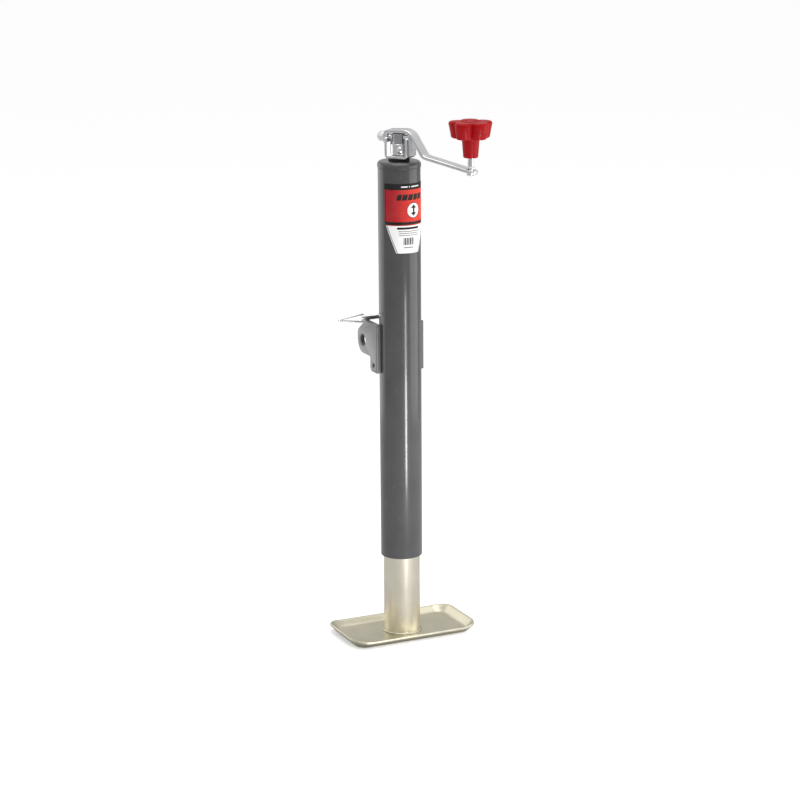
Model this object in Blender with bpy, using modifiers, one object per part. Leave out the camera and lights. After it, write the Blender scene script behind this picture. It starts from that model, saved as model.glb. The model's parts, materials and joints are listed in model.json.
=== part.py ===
"""A trailer tongue jack: a round screw jack with a hand crank, a swivel bracket and a dished foot.

Metres, +Z up along the tube. The origin is under the middle of the foot, +X runs along the foot's
long side and the bracket is at the back, +Y. The jack is modelled retracted.
"""

import math

import bmesh
import bpy
from mathutils import Matrix, Vector

MM = 0.001
GAP = 0.3 * MM  # between pieces that touch

# Tube and drop leg
TUBE_DIAMETER = 50.8 * MM
TUBE_WALL = 2.6 * MM
TUBE_FOOT_HEIGHT = 101.0 * MM  # lower end of the tube above the ground
LEG_CLEARANCE = 0.575 * MM  # between leg and tube, on the radius
LEG_WALL = 3.2 * MM
TRAVEL = 381.0 * MM
ENGAGEMENT = 57.0 * MM  # leg left in the tube at full extension
HEAD_ROOM = 41.7 * MM  # from the retracted leg's end to the tube's end

# Foot
FOOT_LENGTH = 166.0 * MM
FOOT_WIDTH = 95.0 * MM
FOOT_THICKNESS = 3.0 * MM
FOOT_RIM_RISE = 3.2 * MM
FOOT_RIM_WIDTH = 12.0 * MM
FOOT_END_LIFT = 6.2 * MM  # of the rim at both ends, beyond its rise
FOOT_CORNER = 20.0 * MM

# Cap and its bush
CAP_OVERHANG = 0.7 * MM
CAP_HEIGHT = 7.0 * MM
CAP_ROUNDING = 4.2 * MM
CAP_WALL = 4.4 * MM
CAP_SKIRT = 7.6 * MM
CAP_SKIRT_WALL = 2.7 * MM
BUSH_WALL = 2.7 * MM
BUSH_FLANGE = 1.6 * MM  # flange beyond the bush, on the radius
BUSH_FLANGE_THICKNESS = 2.3 * MM

# Lift screw and thrust bearing
SCREW_DIAMETER = 15.9 * MM
SCREW_CLEARANCE = 0.35 * MM  # on the radius, in every piece round the screw
SCREW_ABOVE_CAP = 32.3 * MM
RACE_THICKNESS = 3.0 * MM
RACE_WIDTH = 9.2 * MM
BALL_DIAMETER = 4.8 * MM
BALL_COUNT = 10
CAGE_THICKNESS = 1.6 * MM
THRUST_COLLAR_WALL = 7.6 * MM
THRUST_COLLAR_HEIGHT = 10.0 * MM
CROSS_PIN_DIAMETER = 5.0 * MM
NUT_HEIGHT = 19.0 * MM
NUT_FLANGE = 4.5 * MM
STOP_WASHER_THICKNESS = 4.0 * MM
STOP_WASHER_CLEARANCE = 2.0 * MM
SCREW_TAIL = 6.0 * MM

# Crank head
HEAD_COLLAR_WALL = 1.5 * MM
HEAD_COLLAR_HEIGHT = 13.5 * MM
HEAD_COLLAR_CHAMFER = 0.8 * MM
HEAD_PIN_TURN = math.radians(36.0)
YOKE_LEFT_CLEARANCE = 0.4 * MM  # between the head collar and the yoke's legs
YOKE_RIGHT_CLEARANCE = 4.0 * MM
YOKE_DEPTH = 24.0 * MM
YOKE_STRAP = 3.2 * MM
YOKE_BEND = 3.0 * MM
YOKE_CORNER = 3.0 * MM
YOKE_HEIGHT = 25.4 * MM
STUD_DIAMETER = 6.5 * MM
STUD_HEIGHT = 27.8 * MM  # stud's axis above the cap
WASHER_DIAMETER = 13.0 * MM
WASHER_THICKNESS = 1.4 * MM
LOCK_NUT_FLATS = 11.0 * MM
LOCK_NUT_HEX = 5.0 * MM
LOCK_NUT_COLLAR = 2.2 * MM

# Crank arm: its middle line along the arm and above the cap
CRANK_TURN = math.radians(-52.0)
CRANK_RADIUS = 93.8 * MM
ARM_WIDTH = 16.0 * MM
ARM_THICKNESS = 4.0 * MM
ARM_TAB = 13.5 * MM
ARM_HEIGHT = 34.5 * MM
ARM_RISE = 1.8 * MM  # of the flat part, outwards
ARM_SHOULDER_BACK = 1.0 * MM  # of the shoulder, behind the yoke's outer face
ARM_SHOULDER_BEND = 14.0 * MM
ARM_ELBOW = 35.0 * MM
ARM_ELBOW_DROP = 29.9 * MM
ARM_END_DROP = 44.7 * MM
ARM_ELBOW_BEND = 9.0 * MM
ARM_TAB_BEND = 5.0 * MM

# Knob and its pin
KNOB_PIN_DIAMETER = 7.2 * MM
KNOB_PIN_NECK = 6.0 * MM
KNOB_PIN_BARE = 15.6 * MM
KNOB_RADIUS = 26.5 * MM
KNOB_LOBE = 11.0 * MM
KNOB_LOBES = 5
KNOB_LOBE_TURN = math.radians(-148.0)
KNOB_STEM = 22.5 * MM
KNOB_STEM_TOP = 10.4 * MM
KNOB_STEM_FOOT = 8.7 * MM
KNOB_HEAD = 20.0 * MM
KNOB_TAPER = 0.885
KNOB_DISH = 1.6 * MM
KNOB_DISH_RADIUS = 12.5 * MM
KNOB_BOSS_WALL = 1.4 * MM
KNOB_CLEARANCE = 0.35 * MM
KNOB_SOCKET = 6.5 * MM
KNOB_SOCKET_DEPTH = 7.5 * MM
KNOB_CAP_THICKNESS = 2.0 * MM
RETAINER_DIAMETER = 11.0 * MM
RETAINER_THICKNESS = 1.2 * MM

# Bracket, lock pin and wire
PLATE_THICKNESS = 5.5 * MM
PLATE_FOOT = 230.0 * MM  # plate's lower end above the tube's
PLATE_HEIGHT = 60.0 * MM
PLATE_DEPTH = 20.0 * MM
EAR_BEHIND_TUBE = 14.6 * MM  # from the tube to the pivot hole's middle
EAR_HEIGHT = 34.0 * MM
EAR_RADIUS = 16.3 * MM
PIVOT_HOLE = 14.0 * MM
SMALL_HOLE = 5.0 * MM
SMALL_HOLE_INSET = 9.5 * MM
LOCK_PIN_DIAMETER = 6.35 * MM
LOCK_PIN_OVERHANG = 6.8 * MM  # beyond each plate
LOCK_PIN_CLEARANCE = 0.3 * MM
SLEEVE_WALL = 2.0 * MM
SLEEVE_LENGTH = 24.0 * MM
WIRE_DIAMETER = 2.3 * MM
BAIL_REACH = 33.7 * MM
BAIL_INSET = 3.5 * MM

# Label
LABEL_TOP = 17.0 * MM  # below the tube's end
LABEL_HEIGHT = 83.0 * MM
LABEL_BAND = 45.0 * MM
LABEL_SIDE = math.radians(67.5)
LABEL_FOOT_SIDE = math.radians(33.75)
LABEL_GAP = 0.15 * MM
LABEL_THICKNESS = 0.25 * MM

ROUND_STEPS = 64
SMALL_STEPS = 32

# Sizes that follow from those above
tube_radius = TUBE_DIAMETER / 2
tube_bore = tube_radius - TUBE_WALL
leg_radius = tube_bore - LEG_CLEARANCE
leg_bore = leg_radius - LEG_WALL
leg_foot = FOOT_THICKNESS + GAP
leg_top = TUBE_FOOT_HEIGHT + TRAVEL + ENGAGEMENT
tube_top = leg_top + HEAD_ROOM
cap_foot = tube_top + GAP
cap_top = cap_foot + CAP_HEIGHT
cap_under = cap_top - CAP_WALL
screw_radius = SCREW_DIAMETER / 2
screw_bore = screw_radius + SCREW_CLEARANCE
bush_radius = screw_bore + BUSH_WALL
cap_bore = bush_radius + GAP
pin_radius = CROSS_PIN_DIAMETER / 2
race_radius = screw_bore + RACE_WIDTH
upper_race_foot = cap_under - GAP - RACE_THICKNESS
ball_middle = upper_race_foot - GAP - BALL_DIAMETER / 2
lower_race_foot = ball_middle - BALL_DIAMETER / 2 - GAP - RACE_THICKNESS
thrust_collar_top = lower_race_foot - GAP
thrust_collar_middle = thrust_collar_top - THRUST_COLLAR_HEIGHT / 2
nut_foot = leg_top + GAP - NUT_HEIGHT
stop_washer_top = nut_foot - TRAVEL - GAP
stop_pin_middle = stop_washer_top - STOP_WASHER_THICKNESS - GAP - pin_radius
screw_foot = stop_pin_middle - SCREW_TAIL
bush_top = cap_top + GAP + BUSH_FLANGE_THICKNESS
yoke_foot = bush_top + 2 * GAP
yoke_top = yoke_foot + YOKE_HEIGHT
head_collar_foot = yoke_foot + YOKE_STRAP + GAP
head_collar_middle = head_collar_foot + HEAD_COLLAR_HEIGHT / 2
head_collar_radius = screw_bore + HEAD_COLLAR_WALL
yoke_left = head_collar_radius + YOKE_LEFT_CLEARANCE + YOKE_STRAP
yoke_right = head_collar_radius + YOKE_RIGHT_CLEARANCE + YOKE_STRAP
stud_level = cap_top + STUD_HEIGHT
stud_radius = STUD_DIAMETER / 2
tab_middle = -yoke_left - GAP - ARM_THICKNESS / 2
washer_face = tab_middle - ARM_THICKNESS / 2 - GAP
lock_nut_face = washer_face - WASHER_THICKNESS - GAP
arm_level = cap_top + ARM_HEIGHT
arm_shoulder = yoke_right - ARM_SHOULDER_BACK
arm_end = CRANK_RADIUS + ARM_WIDTH / 2
arm_slope = (ARM_END_DROP - ARM_ELBOW_DROP) / (arm_end - ARM_ELBOW)
arm_at_pin = arm_level + ARM_RISE - ARM_ELBOW_DROP - arm_slope * (CRANK_RADIUS - ARM_ELBOW)
knob_foot = arm_at_pin + KNOB_PIN_BARE + GAP
knob_head_foot = knob_foot + KNOB_STEM
knob_top = knob_head_foot + KNOB_HEAD
knob_bore = KNOB_PIN_NECK / 2 + KNOB_CLEARANCE
socket_foot = knob_top - KNOB_DISH - KNOB_SOCKET_DEPTH
ear_reach = tube_radius + EAR_BEHIND_TUBE
plate_inner = tube_radius + GAP
plate_outer = plate_inner + PLATE_THICKNESS
plate_foot = TUBE_FOOT_HEIGHT + PLATE_FOOT
plate_top = plate_foot + PLATE_HEIGHT
lock_pin_radius = LOCK_PIN_DIAMETER / 2
sleeve_radius = lock_pin_radius + LOCK_PIN_CLEARANCE + SLEEVE_WALL
lock_pin_back = tube_radius + GAP + sleeve_radius
lock_pin_level = plate_top + GAP + lock_pin_radius
lock_pin_end = plate_outer + LOCK_PIN_OVERHANG
wire_radius = WIRE_DIAMETER / 2


def clear_scene():
    for obj in list(bpy.data.objects):
        bpy.data.objects.remove(obj)


def new_collection(name, hidden=False):
    collection = bpy.data.collections.new(name)
    collection.hide_render = hidden
    bpy.context.scene.collection.children.link(collection)
    return collection


def new_material(name, colour, roughness, metallic):
    material = bpy.data.materials.new(name)
    material.use_nodes = True
    shader = material.node_tree.nodes["Principled BSDF"]
    shader.inputs["Base Color"].default_value = (*colour, 1.0)
    shader.inputs["Roughness"].default_value = roughness
    shader.inputs["Metallic"].default_value = metallic
    return material


def new_frame(name, location, turn=0.0, parent=None):
    """An empty that carries the pieces of one moving body."""
    frame = bpy.data.objects.new(name, None)
    frame.location = location
    frame.rotation_euler.z = turn
    frame.parent = parent
    parts.objects.link(frame)
    return frame


def add_object(name, data, frame, finish=None):
    """A named piece, or with no finish a cutter, under its body's frame."""
    obj = bpy.data.objects.new(name, data)
    obj.parent = frame
    if finish is None:
        obj.hide_render = True
        obj.display_type = "WIRE"
        cutters.objects.link(obj)
        return obj
    look = new_material(name, *finish)
    data.materials.append(look)
    parts.objects.link(obj)
    return obj


def mesh_from(bm, name):
    mesh = bpy.data.meshes.new(name)
    bm.to_mesh(mesh)
    bm.free()
    mesh.shade_smooth()
    mesh.set_sharp_from_angle(angle=math.radians(30.0))
    return mesh


def turned(name, profile, frame, finish=None, steps=ROUND_STEPS, ring=True):
    """A turned piece from (radius, height) points that run down its outer side, top to bottom."""
    bm = bmesh.new()
    points = [bm.verts.new((radius, 0.0, height)) for radius, height in profile]
    for start, end in zip(points, points[1:]):
        bm.edges.new((start, end))
    if ring:
        bm.edges.new((points[-1], points[0]))
    obj = add_object(name, mesh_from(bm, name), frame, finish)
    screw = obj.modifiers.new("Turn", "SCREW")
    screw.steps = steps
    screw.render_steps = steps
    screw.use_merge_vertices = True
    screw.merge_threshold = 0.00001
    screw.use_smooth_shade = True
    return obj


def ring_profile(inner, outer, low, high, chamfer=0.0):
    if not chamfer:
        return [(outer, high), (outer, low), (inner, low), (inner, high)]
    return [
        (outer - chamfer, high),
        (outer, high - chamfer),
        (outer, low + chamfer),
        (outer - chamfer, low),
        (inner, low),
        (inner, high),
    ]


def rod_profile(radius, low, high, chamfer):
    return [
        (0.0, high),
        (radius - chamfer, high),
        (radius, high - chamfer),
        (radius, low + chamfer),
        (radius - chamfer, low),
        (0.0, low),
    ]


def dome_profile(shaft, head, low, high, rise):
    """A headed pin along Z: a round shaft with a domed head at each end."""
    top = [(head * math.cos(a), high + rise * math.sin(a)) for a in quarter_turn(5)]
    foot = [(head * math.cos(a), low - rise * math.sin(a)) for a in quarter_turn(5)]
    return [*reversed(top), (shaft, high), (shaft, low), *foot]


def quarter_turn(steps):
    return [math.pi / 2 * i / steps for i in range(steps + 1)]


def add_cylinder(bm, radius, length, matrix, segments=SMALL_STEPS):
    bmesh.ops.create_cone(
        bm,
        cap_ends=True,
        segments=segments,
        radius1=radius,
        radius2=radius,
        depth=length,
        matrix=matrix,
    )


def cylinder_cutter(name, radius, length, location, axis, frame):
    bm = bmesh.new()
    turn = Vector((0.0, 0.0, 1.0)).rotation_difference(Vector(axis)).to_matrix().to_4x4()
    add_cylinder(bm, radius, length, Matrix.Translation(location) @ turn)
    return add_object(name, mesh_from(bm, name), frame)


def boolean(obj, other, operation):
    modifier = obj.modifiers.new(f"{operation.title()} {other.name}", "BOOLEAN")
    modifier.operation = operation
    modifier.object = other
    modifier.solver = "EXACT"


def cross_bore(obj, radius, location, axis, frame, length=4 * SCREW_DIAMETER):
    cutter = cylinder_cutter(f"{obj.name}_bore", radius, length, location, axis, frame)
    boolean(obj, cutter, "DIFFERENCE")


def filleted(corners, steps=6):
    """A polyline from (x, y, radius) corners, each corner with a radius rounded by an arc."""
    count = len(corners)
    line = []
    for i, (x, y, radius) in enumerate(corners):
        here = Vector((x, y))
        if not radius:
            line.append(here)
            continue
        back = (Vector(corners[i - 1][:2]) - here).normalized()
        ahead = (Vector(corners[(i + 1) % count][:2]) - here).normalized()
        half = back.angle(ahead) / 2
        centre = here + (back + ahead).normalized() * (radius / math.sin(half))
        start = here + back * (radius / math.tan(half)) - centre
        end = here + ahead * (radius / math.tan(half)) - centre
        sweep = start.angle_signed(end)
        for n in range(steps + 1):
            line.append(centre + Matrix.Rotation(-sweep * n / steps, 2) @ start)
    return line


def strip(line, thickness):
    """The closed outline of a strip of this thickness along an open line."""
    left, right = [], []
    for i, point in enumerate(line):
        before = (point - line[max(i - 1, 0)]).normalized()
        after = (line[min(i + 1, len(line) - 1)] - point).normalized()
        along = (before + after).normalized()
        across = Vector((-along.y, along.x))
        reach = thickness / 2 / max(along.dot(after or before), along.dot(before or after))
        left.append(point + across * reach)
        right.append(point - across * reach)
    return left + right[::-1]


def flat_outline(name, outlines, thickness, frame, finish=None):
    """A flat piece from closed outlines in its XY plane; outlines inside the first are holes."""
    curve = bpy.data.curves.new(name, "CURVE")
    curve.dimensions = "2D"
    curve.fill_mode = "BOTH"
    curve.extrude = thickness / 2
    for outline in outlines:
        spline = curve.splines.new("POLY")
        spline.points.add(len(outline) - 1)
        for point, place in zip(spline.points, outline):
            point.co = (place[0], place[1], 0.0, 1.0)
        spline.use_cyclic_u = True
    return add_object(name, curve, frame, finish)


def as_mesh(obj):
    """The curve object's solid as a mesh object of the same name, for the Boolean modifiers."""
    bpy.context.view_layer.update()
    evaluated = obj.evaluated_get(bpy.context.evaluated_depsgraph_get())
    mesh = bpy.data.meshes.new_from_object(evaluated)
    bm = bmesh.new()
    bm.from_mesh(mesh)
    bmesh.ops.remove_doubles(bm, verts=bm.verts, dist=0.000001)
    bmesh.ops.recalc_face_normals(bm, faces=bm.faces)
    bm.to_mesh(mesh)
    bm.free()
    name, place, parent = obj.name, obj.matrix_world.copy(), obj.parent
    owner = obj.users_collection[0]
    hidden = obj.hide_render
    bpy.data.objects.remove(obj)
    solid = bpy.data.objects.new(name, mesh)
    solid.parent = parent
    owner.objects.link(solid)
    solid.matrix_world = place
    solid.hide_render = hidden
    solid.display_type = "WIRE" if hidden else "TEXTURED"
    return solid


def circle(x, y, radius, steps=28):
    turns = [2 * math.pi * i / steps for i in range(steps)]
    return [(x + radius * math.cos(a), y + radius * math.sin(a)) for a in turns]


def stand_up(obj, turn=0.0):
    """Turns an outline drawn in XY up into the plane of X and Z, then about Z."""
    obj.rotation_euler = (math.pi / 2, 0.0, turn)


PAINT = ((0.13, 0.135, 0.14), 0.38, 0.0)
PLATE_PAINT = ((0.30, 0.31, 0.32), 0.4, 0.0)
ZINC = ((0.62, 0.58, 0.47), 0.35, 1.0)
CHROME = ((0.82, 0.83, 0.84), 0.14, 1.0)
STEEL = ((0.45, 0.46, 0.48), 0.35, 1.0)
BLACK_NYLON = ((0.02, 0.02, 0.02), 0.5, 0.0)
RED_PLASTIC = ((0.62, 0.02, 0.03), 0.3, 0.0)
PRINT = ((0.75, 0.06, 0.04), 0.35, 0.0)


def build_tube(frame):
    profile = ring_profile(tube_bore, tube_radius, TUBE_FOOT_HEIGHT, tube_top, 0.6 * MM)
    turned("outer_tube", profile, frame, PAINT)


def build_cap(frame):
    outer = tube_radius + CAP_OVERHANG
    skirt = tube_bore - GAP
    centre = outer - CAP_ROUNDING
    crown = [
        (centre + CAP_ROUNDING * math.sin(a), cap_top - CAP_ROUNDING * (1 - math.cos(a)))
        for a in quarter_turn(6)
    ]
    profile = [
        (cap_bore, cap_top),
        *crown,
        (outer, cap_foot),
        (skirt, cap_foot),
        (skirt, cap_under - CAP_SKIRT),
        (skirt - CAP_SKIRT_WALL, cap_under - CAP_SKIRT),
        (skirt - CAP_SKIRT_WALL, cap_under),
        (cap_bore, cap_under),
    ]
    turned("top_cap", profile, frame, PAINT)


def build_bush(frame):
    flange = bush_radius + BUSH_FLANGE
    profile = [
        (screw_bore, bush_top),
        (flange - 0.5 * MM, bush_top),
        (flange, bush_top - 0.5 * MM),
        (flange, cap_top + GAP),
        (bush_radius, cap_top + GAP),
        (bush_radius, cap_under + GAP),
        (screw_bore, cap_under + GAP),
    ]
    turned("cap_bushing", profile, frame, BLACK_NYLON, SMALL_STEPS)


def build_label(frame):
    """A thin curved sheet on the tube's front, narrower at its foot."""
    inner = tube_radius + LABEL_GAP
    top = tube_top - LABEL_TOP
    shoulder = top - LABEL_BAND
    foot = top - LABEL_HEIGHT
    step = 2 * math.pi / ROUND_STEPS
    bm = bmesh.new()
    rows = []
    columns = round(2 * LABEL_SIDE / step)
    for level, side in ((top, LABEL_SIDE), (shoulder, LABEL_SIDE), (foot, LABEL_FOOT_SIDE)):
        row = []
        for i in range(columns + 1):
            angle = -math.pi / 2 - LABEL_SIDE + i * step
            level_here = level
            inside = abs(angle + math.pi / 2) - side
            if inside > 1e-6:
                level_here = foot + (shoulder - foot) * inside / (LABEL_SIDE - LABEL_FOOT_SIDE)
            row.append(bm.verts.new((inner * math.cos(angle), inner * math.sin(angle), level_here)))
        rows.append(row)
    for upper, lower in zip(rows, rows[1:]):
        for i in range(columns):
            bm.faces.new((upper[i], lower[i], lower[i + 1], upper[i + 1]))
    bmesh.ops.remove_doubles(bm, verts=bm.verts, dist=0.00001)
    obj = add_object("label", mesh_from(bm, "label"), frame, PRINT)
    wall = obj.modifiers.new("Thickness", "SOLIDIFY")
    wall.thickness = LABEL_THICKNESS
    wall.offset = 1.0


def build_thrust_bearing(housing, crank, cage_frame):
    races = (
        ("thrust_race_upper", screw_bore + GAP, upper_race_foot, housing),
        ("thrust_race_lower", screw_bore, lower_race_foot, crank),
    )
    for name, bore, low, frame in races:
        profile = ring_profile(bore, race_radius, low, low + RACE_THICKNESS, 0.4 * MM)
        turned(name, profile, frame, STEEL, SMALL_STEPS)
    ball_circle = (screw_bore + race_radius) / 2
    half_width = BALL_DIAMETER / 2 + 1.0 * MM
    half_thick = CAGE_THICKNESS / 2
    profile = ring_profile(
        ball_circle - half_width,
        ball_circle + half_width,
        ball_middle - half_thick,
        ball_middle + half_thick,
    )
    cage = turned("ball_cage", profile, cage_frame, STEEL, SMALL_STEPS)
    bm = bmesh.new()
    for i in range(BALL_COUNT):
        turn = Matrix.Rotation(2 * math.pi * i / BALL_COUNT, 4, "Z")
        place = turn @ Matrix.Translation((ball_circle, 0.0, ball_middle))
        bmesh.ops.create_uvsphere(
            bm, u_segments=12, v_segments=8, radius=BALL_DIAMETER / 2, matrix=place
        )
    boolean(cage, add_object("bearing_balls", mesh_from(bm, "bearing_balls"), cage_frame), "UNION")


def build_screw(frame):
    screw = turned(
        "lift_screw",
        rod_profile(screw_radius, screw_foot, cap_top + SCREW_ABOVE_CAP, 1.0 * MM),
        frame,
        STEEL,
        SMALL_STEPS,
        ring=False,
    )
    bore = pin_radius + GAP
    pin_axis = (math.sin(HEAD_PIN_TURN), -math.cos(HEAD_PIN_TURN), 0.0)
    holes = (
        ("stop", bore, stop_pin_middle, (1.0, 0.0, 0.0)),
        ("thrust", bore, thrust_collar_middle, (1.0, 0.0, 0.0)),
        ("head", bore, head_collar_middle, pin_axis),
        ("stud", stud_radius + GAP, stud_level, (1.0, 0.0, 0.0)),
    )
    for name, radius, level, axis in holes:
        cutter = cylinder_cutter(
            f"screw_{name}_bore", radius, 4 * SCREW_DIAMETER, (0, 0, level), axis, frame
        )
        boolean(screw, cutter, "DIFFERENCE")

    collar = turned(
        "thrust_collar",
        ring_profile(
            screw_bore,
            screw_bore + THRUST_COLLAR_WALL,
            thrust_collar_top - THRUST_COLLAR_HEIGHT,
            thrust_collar_top,
            0.6 * MM,
        ),
        frame,
        STEEL,
        SMALL_STEPS,
    )
    cross_bore(collar, bore, (0, 0, thrust_collar_middle), (1, 0, 0), frame)
    reach = screw_bore + THRUST_COLLAR_WALL
    profile = rod_profile(pin_radius, -reach, reach, 0.4 * MM)
    cross_pin("collar_pin", profile, thrust_collar_middle, 0.0, frame)

    profile = ring_profile(
        screw_bore,
        leg_bore - STOP_WASHER_CLEARANCE,
        stop_washer_top - STOP_WASHER_THICKNESS,
        stop_washer_top,
        0.5 * MM,
    )
    turned("stop_washer", profile, frame, STEEL, SMALL_STEPS)
    reach = screw_radius + pin_radius
    profile = rod_profile(pin_radius, -reach, reach, 0.4 * MM)
    cross_pin("stop_pin", profile, stop_pin_middle, 0.0, frame)

    profile = ring_profile(
        screw_bore,
        head_collar_radius,
        head_collar_foot,
        head_collar_foot + HEAD_COLLAR_HEIGHT,
        HEAD_COLLAR_CHAMFER,
    )
    collar = turned("head_collar", profile, frame, CHROME, SMALL_STEPS)
    cross_bore(collar, bore, (0, 0, head_collar_middle), pin_axis, frame)
    reach = head_collar_radius + GAP
    profile = dome_profile(pin_radius, 1.7 * pin_radius, -reach, reach, 2.0 * MM)
    cross_pin("head_pin", profile, head_collar_middle, HEAD_PIN_TURN - math.pi / 2, frame)


def cross_pin(name, profile, level, turn, frame):
    """A pin laid across the screw, turned about it from the frame's X axis."""
    pin = turned(name, profile, frame, STEEL, 20, ring=False)
    pin.location = (0.0, 0.0, level)
    pin.rotation_euler = (0.0, math.pi / 2, turn)


def build_yoke(frame):
    """A strap bent to a U round the screw's head, with a slot for the stud in each leg's top."""
    half = YOKE_STRAP / 2
    line = filleted(
        [
            (-yoke_left + half, yoke_top, 0.0),
            (-yoke_left + half, yoke_foot + half, YOKE_BEND),
            (yoke_right - half, yoke_foot + half, YOKE_BEND),
            (yoke_right - half, yoke_top, 0.0),
        ]
    )
    yoke = flat_outline("crank_yoke", [strip(line, YOKE_STRAP)], YOKE_DEPTH, frame, CHROME)
    stand_up(yoke)
    yoke = as_mesh(yoke)

    edge = YOKE_DEPTH / 2
    below = yoke_foot - YOKE_STRAP
    slot = stud_radius + GAP
    side = filleted(
        [
            (-edge, below, 0.0),
            (edge, below, 0.0),
            (edge, yoke_top, YOKE_CORNER),
            (slot, yoke_top, 0.0),
            (slot, stud_level, 0.0),
            *[(slot * math.cos(a), stud_level - slot * math.sin(a), 0.0) for a in half_turn(10)],
            (-slot, stud_level, 0.0),
            (-slot, yoke_top, 0.0),
            (-edge, yoke_top, YOKE_CORNER),
        ],
        3,
    )
    blank = flat_outline("yoke_blank", [side], 4 * YOKE_DEPTH, frame)
    stand_up(blank, math.pi / 2)
    boolean(yoke, as_mesh(blank), "INTERSECT")
    cross_bore(yoke, screw_bore, (0, 0, yoke_foot), (0, 0, 1), frame, 4 * YOKE_STRAP)


def half_turn(steps):
    """Turns between the two ends of a half circle."""
    return [math.pi * i / steps for i in range(1, steps)]


def build_arm(frame):
    shoulder = arm_level + ARM_RISE
    line = filleted(
        [
            (tab_middle, stud_level - ARM_TAB / 2, 0.0),
            (tab_middle, arm_level, ARM_TAB_BEND),
            (arm_shoulder, shoulder, ARM_SHOULDER_BEND),
            (ARM_ELBOW, shoulder - ARM_ELBOW_DROP, ARM_ELBOW_BEND),
            (arm_end, shoulder - ARM_END_DROP, 0.0),
        ],
        8,
    )
    arm = flat_outline("crank_arm", [strip(line, ARM_THICKNESS)], ARM_WIDTH, frame, CHROME)
    stand_up(arm)
    arm = as_mesh(arm)
    half = ARM_WIDTH / 2
    inner = 2 * tab_middle
    rounded_end = arc(CRANK_RADIUS, 0.0, half, -90.0, 90.0, 16)
    plan = [(inner, -half - GAP), *rounded_end, (inner, half + GAP)]
    blank = flat_outline("arm_blank", [plan], 4 * ARM_END_DROP, frame)
    blank.location.z = arm_level
    boolean(arm, as_mesh(blank), "INTERSECT")
    stud_hole = (tab_middle, 0, stud_level)
    cross_bore(arm, stud_radius + GAP, stud_hole, (1, 0, 0), frame, 3 * ARM_THICKNESS)
    pin_hole = (CRANK_RADIUS, 0, arm_at_pin)
    cross_bore(arm, KNOB_PIN_NECK / 2 + GAP, pin_hole, (0, 0, 1), frame, 6 * ARM_THICKNESS)


def arc(x, y, radius, start, end, steps):
    turns = [math.radians(start + (end - start) * i / steps) for i in range(steps + 1)]
    return [(x + radius * math.cos(a), y + radius * math.sin(a)) for a in turns]


def build_stud(frame):
    """The cross stud with its washer and lock nut, along the arm."""
    tail = lock_nut_face - LOCK_NUT_HEX - LOCK_NUT_COLLAR - 1.0 * MM
    tip = yoke_right - YOKE_STRAP / 2 - GAP
    profile = rod_profile(stud_radius, 0.0, tip - tail, 0.6 * MM)
    stud = turned("crank_stud", profile, frame, CHROME, 24, ring=False)
    along_arm(stud, tail)
    bore = stud_radius + GAP
    profile = ring_profile(bore, WASHER_DIAMETER / 2, 0.0, WASHER_THICKNESS, 0.2 * MM)
    washer = turned("crank_washer", profile, frame, CHROME, 24)
    along_arm(washer, washer_face - WASHER_THICKNESS)

    bm = bmesh.new()
    corner = LOCK_NUT_FLATS / 2 / math.cos(math.pi / 6)
    place = Matrix.Translation((0.0, 0.0, LOCK_NUT_COLLAR + LOCK_NUT_HEX / 2))
    add_cylinder(bm, corner, LOCK_NUT_HEX, place, 6)
    nut = add_object("crank_nut", mesh_from(bm, "crank_nut"), frame, CHROME)
    along_arm(nut, lock_nut_face - LOCK_NUT_HEX - LOCK_NUT_COLLAR)
    chamfer = 1.0 * MM
    face = LOCK_NUT_COLLAR + LOCK_NUT_HEX + 0.4 * MM
    profile = rod_profile(corner - 0.2 * MM, -LOCK_NUT_HEX, face, chamfer)
    rounding = turned("nut_rounding", profile, frame, steps=SMALL_STEPS, ring=False)
    rounding.location = nut.location
    rounding.rotation_euler = nut.rotation_euler
    boolean(nut, rounding, "INTERSECT")
    middle = LOCK_NUT_COLLAR + LOCK_NUT_HEX / 2
    profile = rod_profile(LOCK_NUT_FLATS / 2 - 0.7 * MM, 0.0, middle, chamfer)
    crown = turned("nut_crown", profile, frame, steps=SMALL_STEPS, ring=False)
    crown.location = nut.location
    crown.rotation_euler = nut.rotation_euler
    boolean(nut, crown, "UNION")
    cross_bore(nut, bore, (lock_nut_face, 0, stud_level), (1, 0, 0), frame)


def along_arm(obj, start):
    """Lays a piece made along Z on the stud's axis, from this distance outwards."""
    obj.location = (start, 0.0, stud_level)
    obj.rotation_euler = (0.0, math.pi / 2, 0.0)


def build_knob_pin(frame):
    """The shouldered pin, riveted over under the arm. Its frame is the knob's axis at the arm."""
    neck = KNOB_PIN_NECK / 2
    shank = KNOB_PIN_DIAMETER / 2
    collar = shank + 1.6 * MM
    half = ARM_THICKNESS / 2 / math.cos(math.atan(arm_slope)) + arm_slope * collar + GAP
    head = [(collar * math.cos(a), -half - 2.2 * MM * math.sin(a)) for a in quarter_turn(5)]
    profile = [
        (0.0, socket_foot - arm_at_pin + 4.2 * MM),
        (neck - 0.6 * MM, socket_foot - arm_at_pin + 4.2 * MM),
        (neck, socket_foot - arm_at_pin + 3.6 * MM),
        (neck, KNOB_PIN_BARE),
        (shank, KNOB_PIN_BARE),
        (shank, half + 1.6 * MM),
        (collar, half + 1.2 * MM),
        (collar, half),
        (neck, half),
        (neck, -half),
        *head,
    ]
    turned("knob_pin", profile, frame, CHROME, 24, ring=False)


def lobed(turn):
    """The knob's radius at this turn: round lobes on a circle, each running into the next."""
    pitch = 2 * math.pi / KNOB_LOBES
    off = (turn - KNOB_LOBE_TURN + pitch / 2) % pitch - pitch / 2
    middle = KNOB_RADIUS - KNOB_LOBE
    across = middle * math.sin(off)
    return middle * math.cos(off) + math.sqrt(KNOB_LOBE**2 - across**2)


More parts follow.
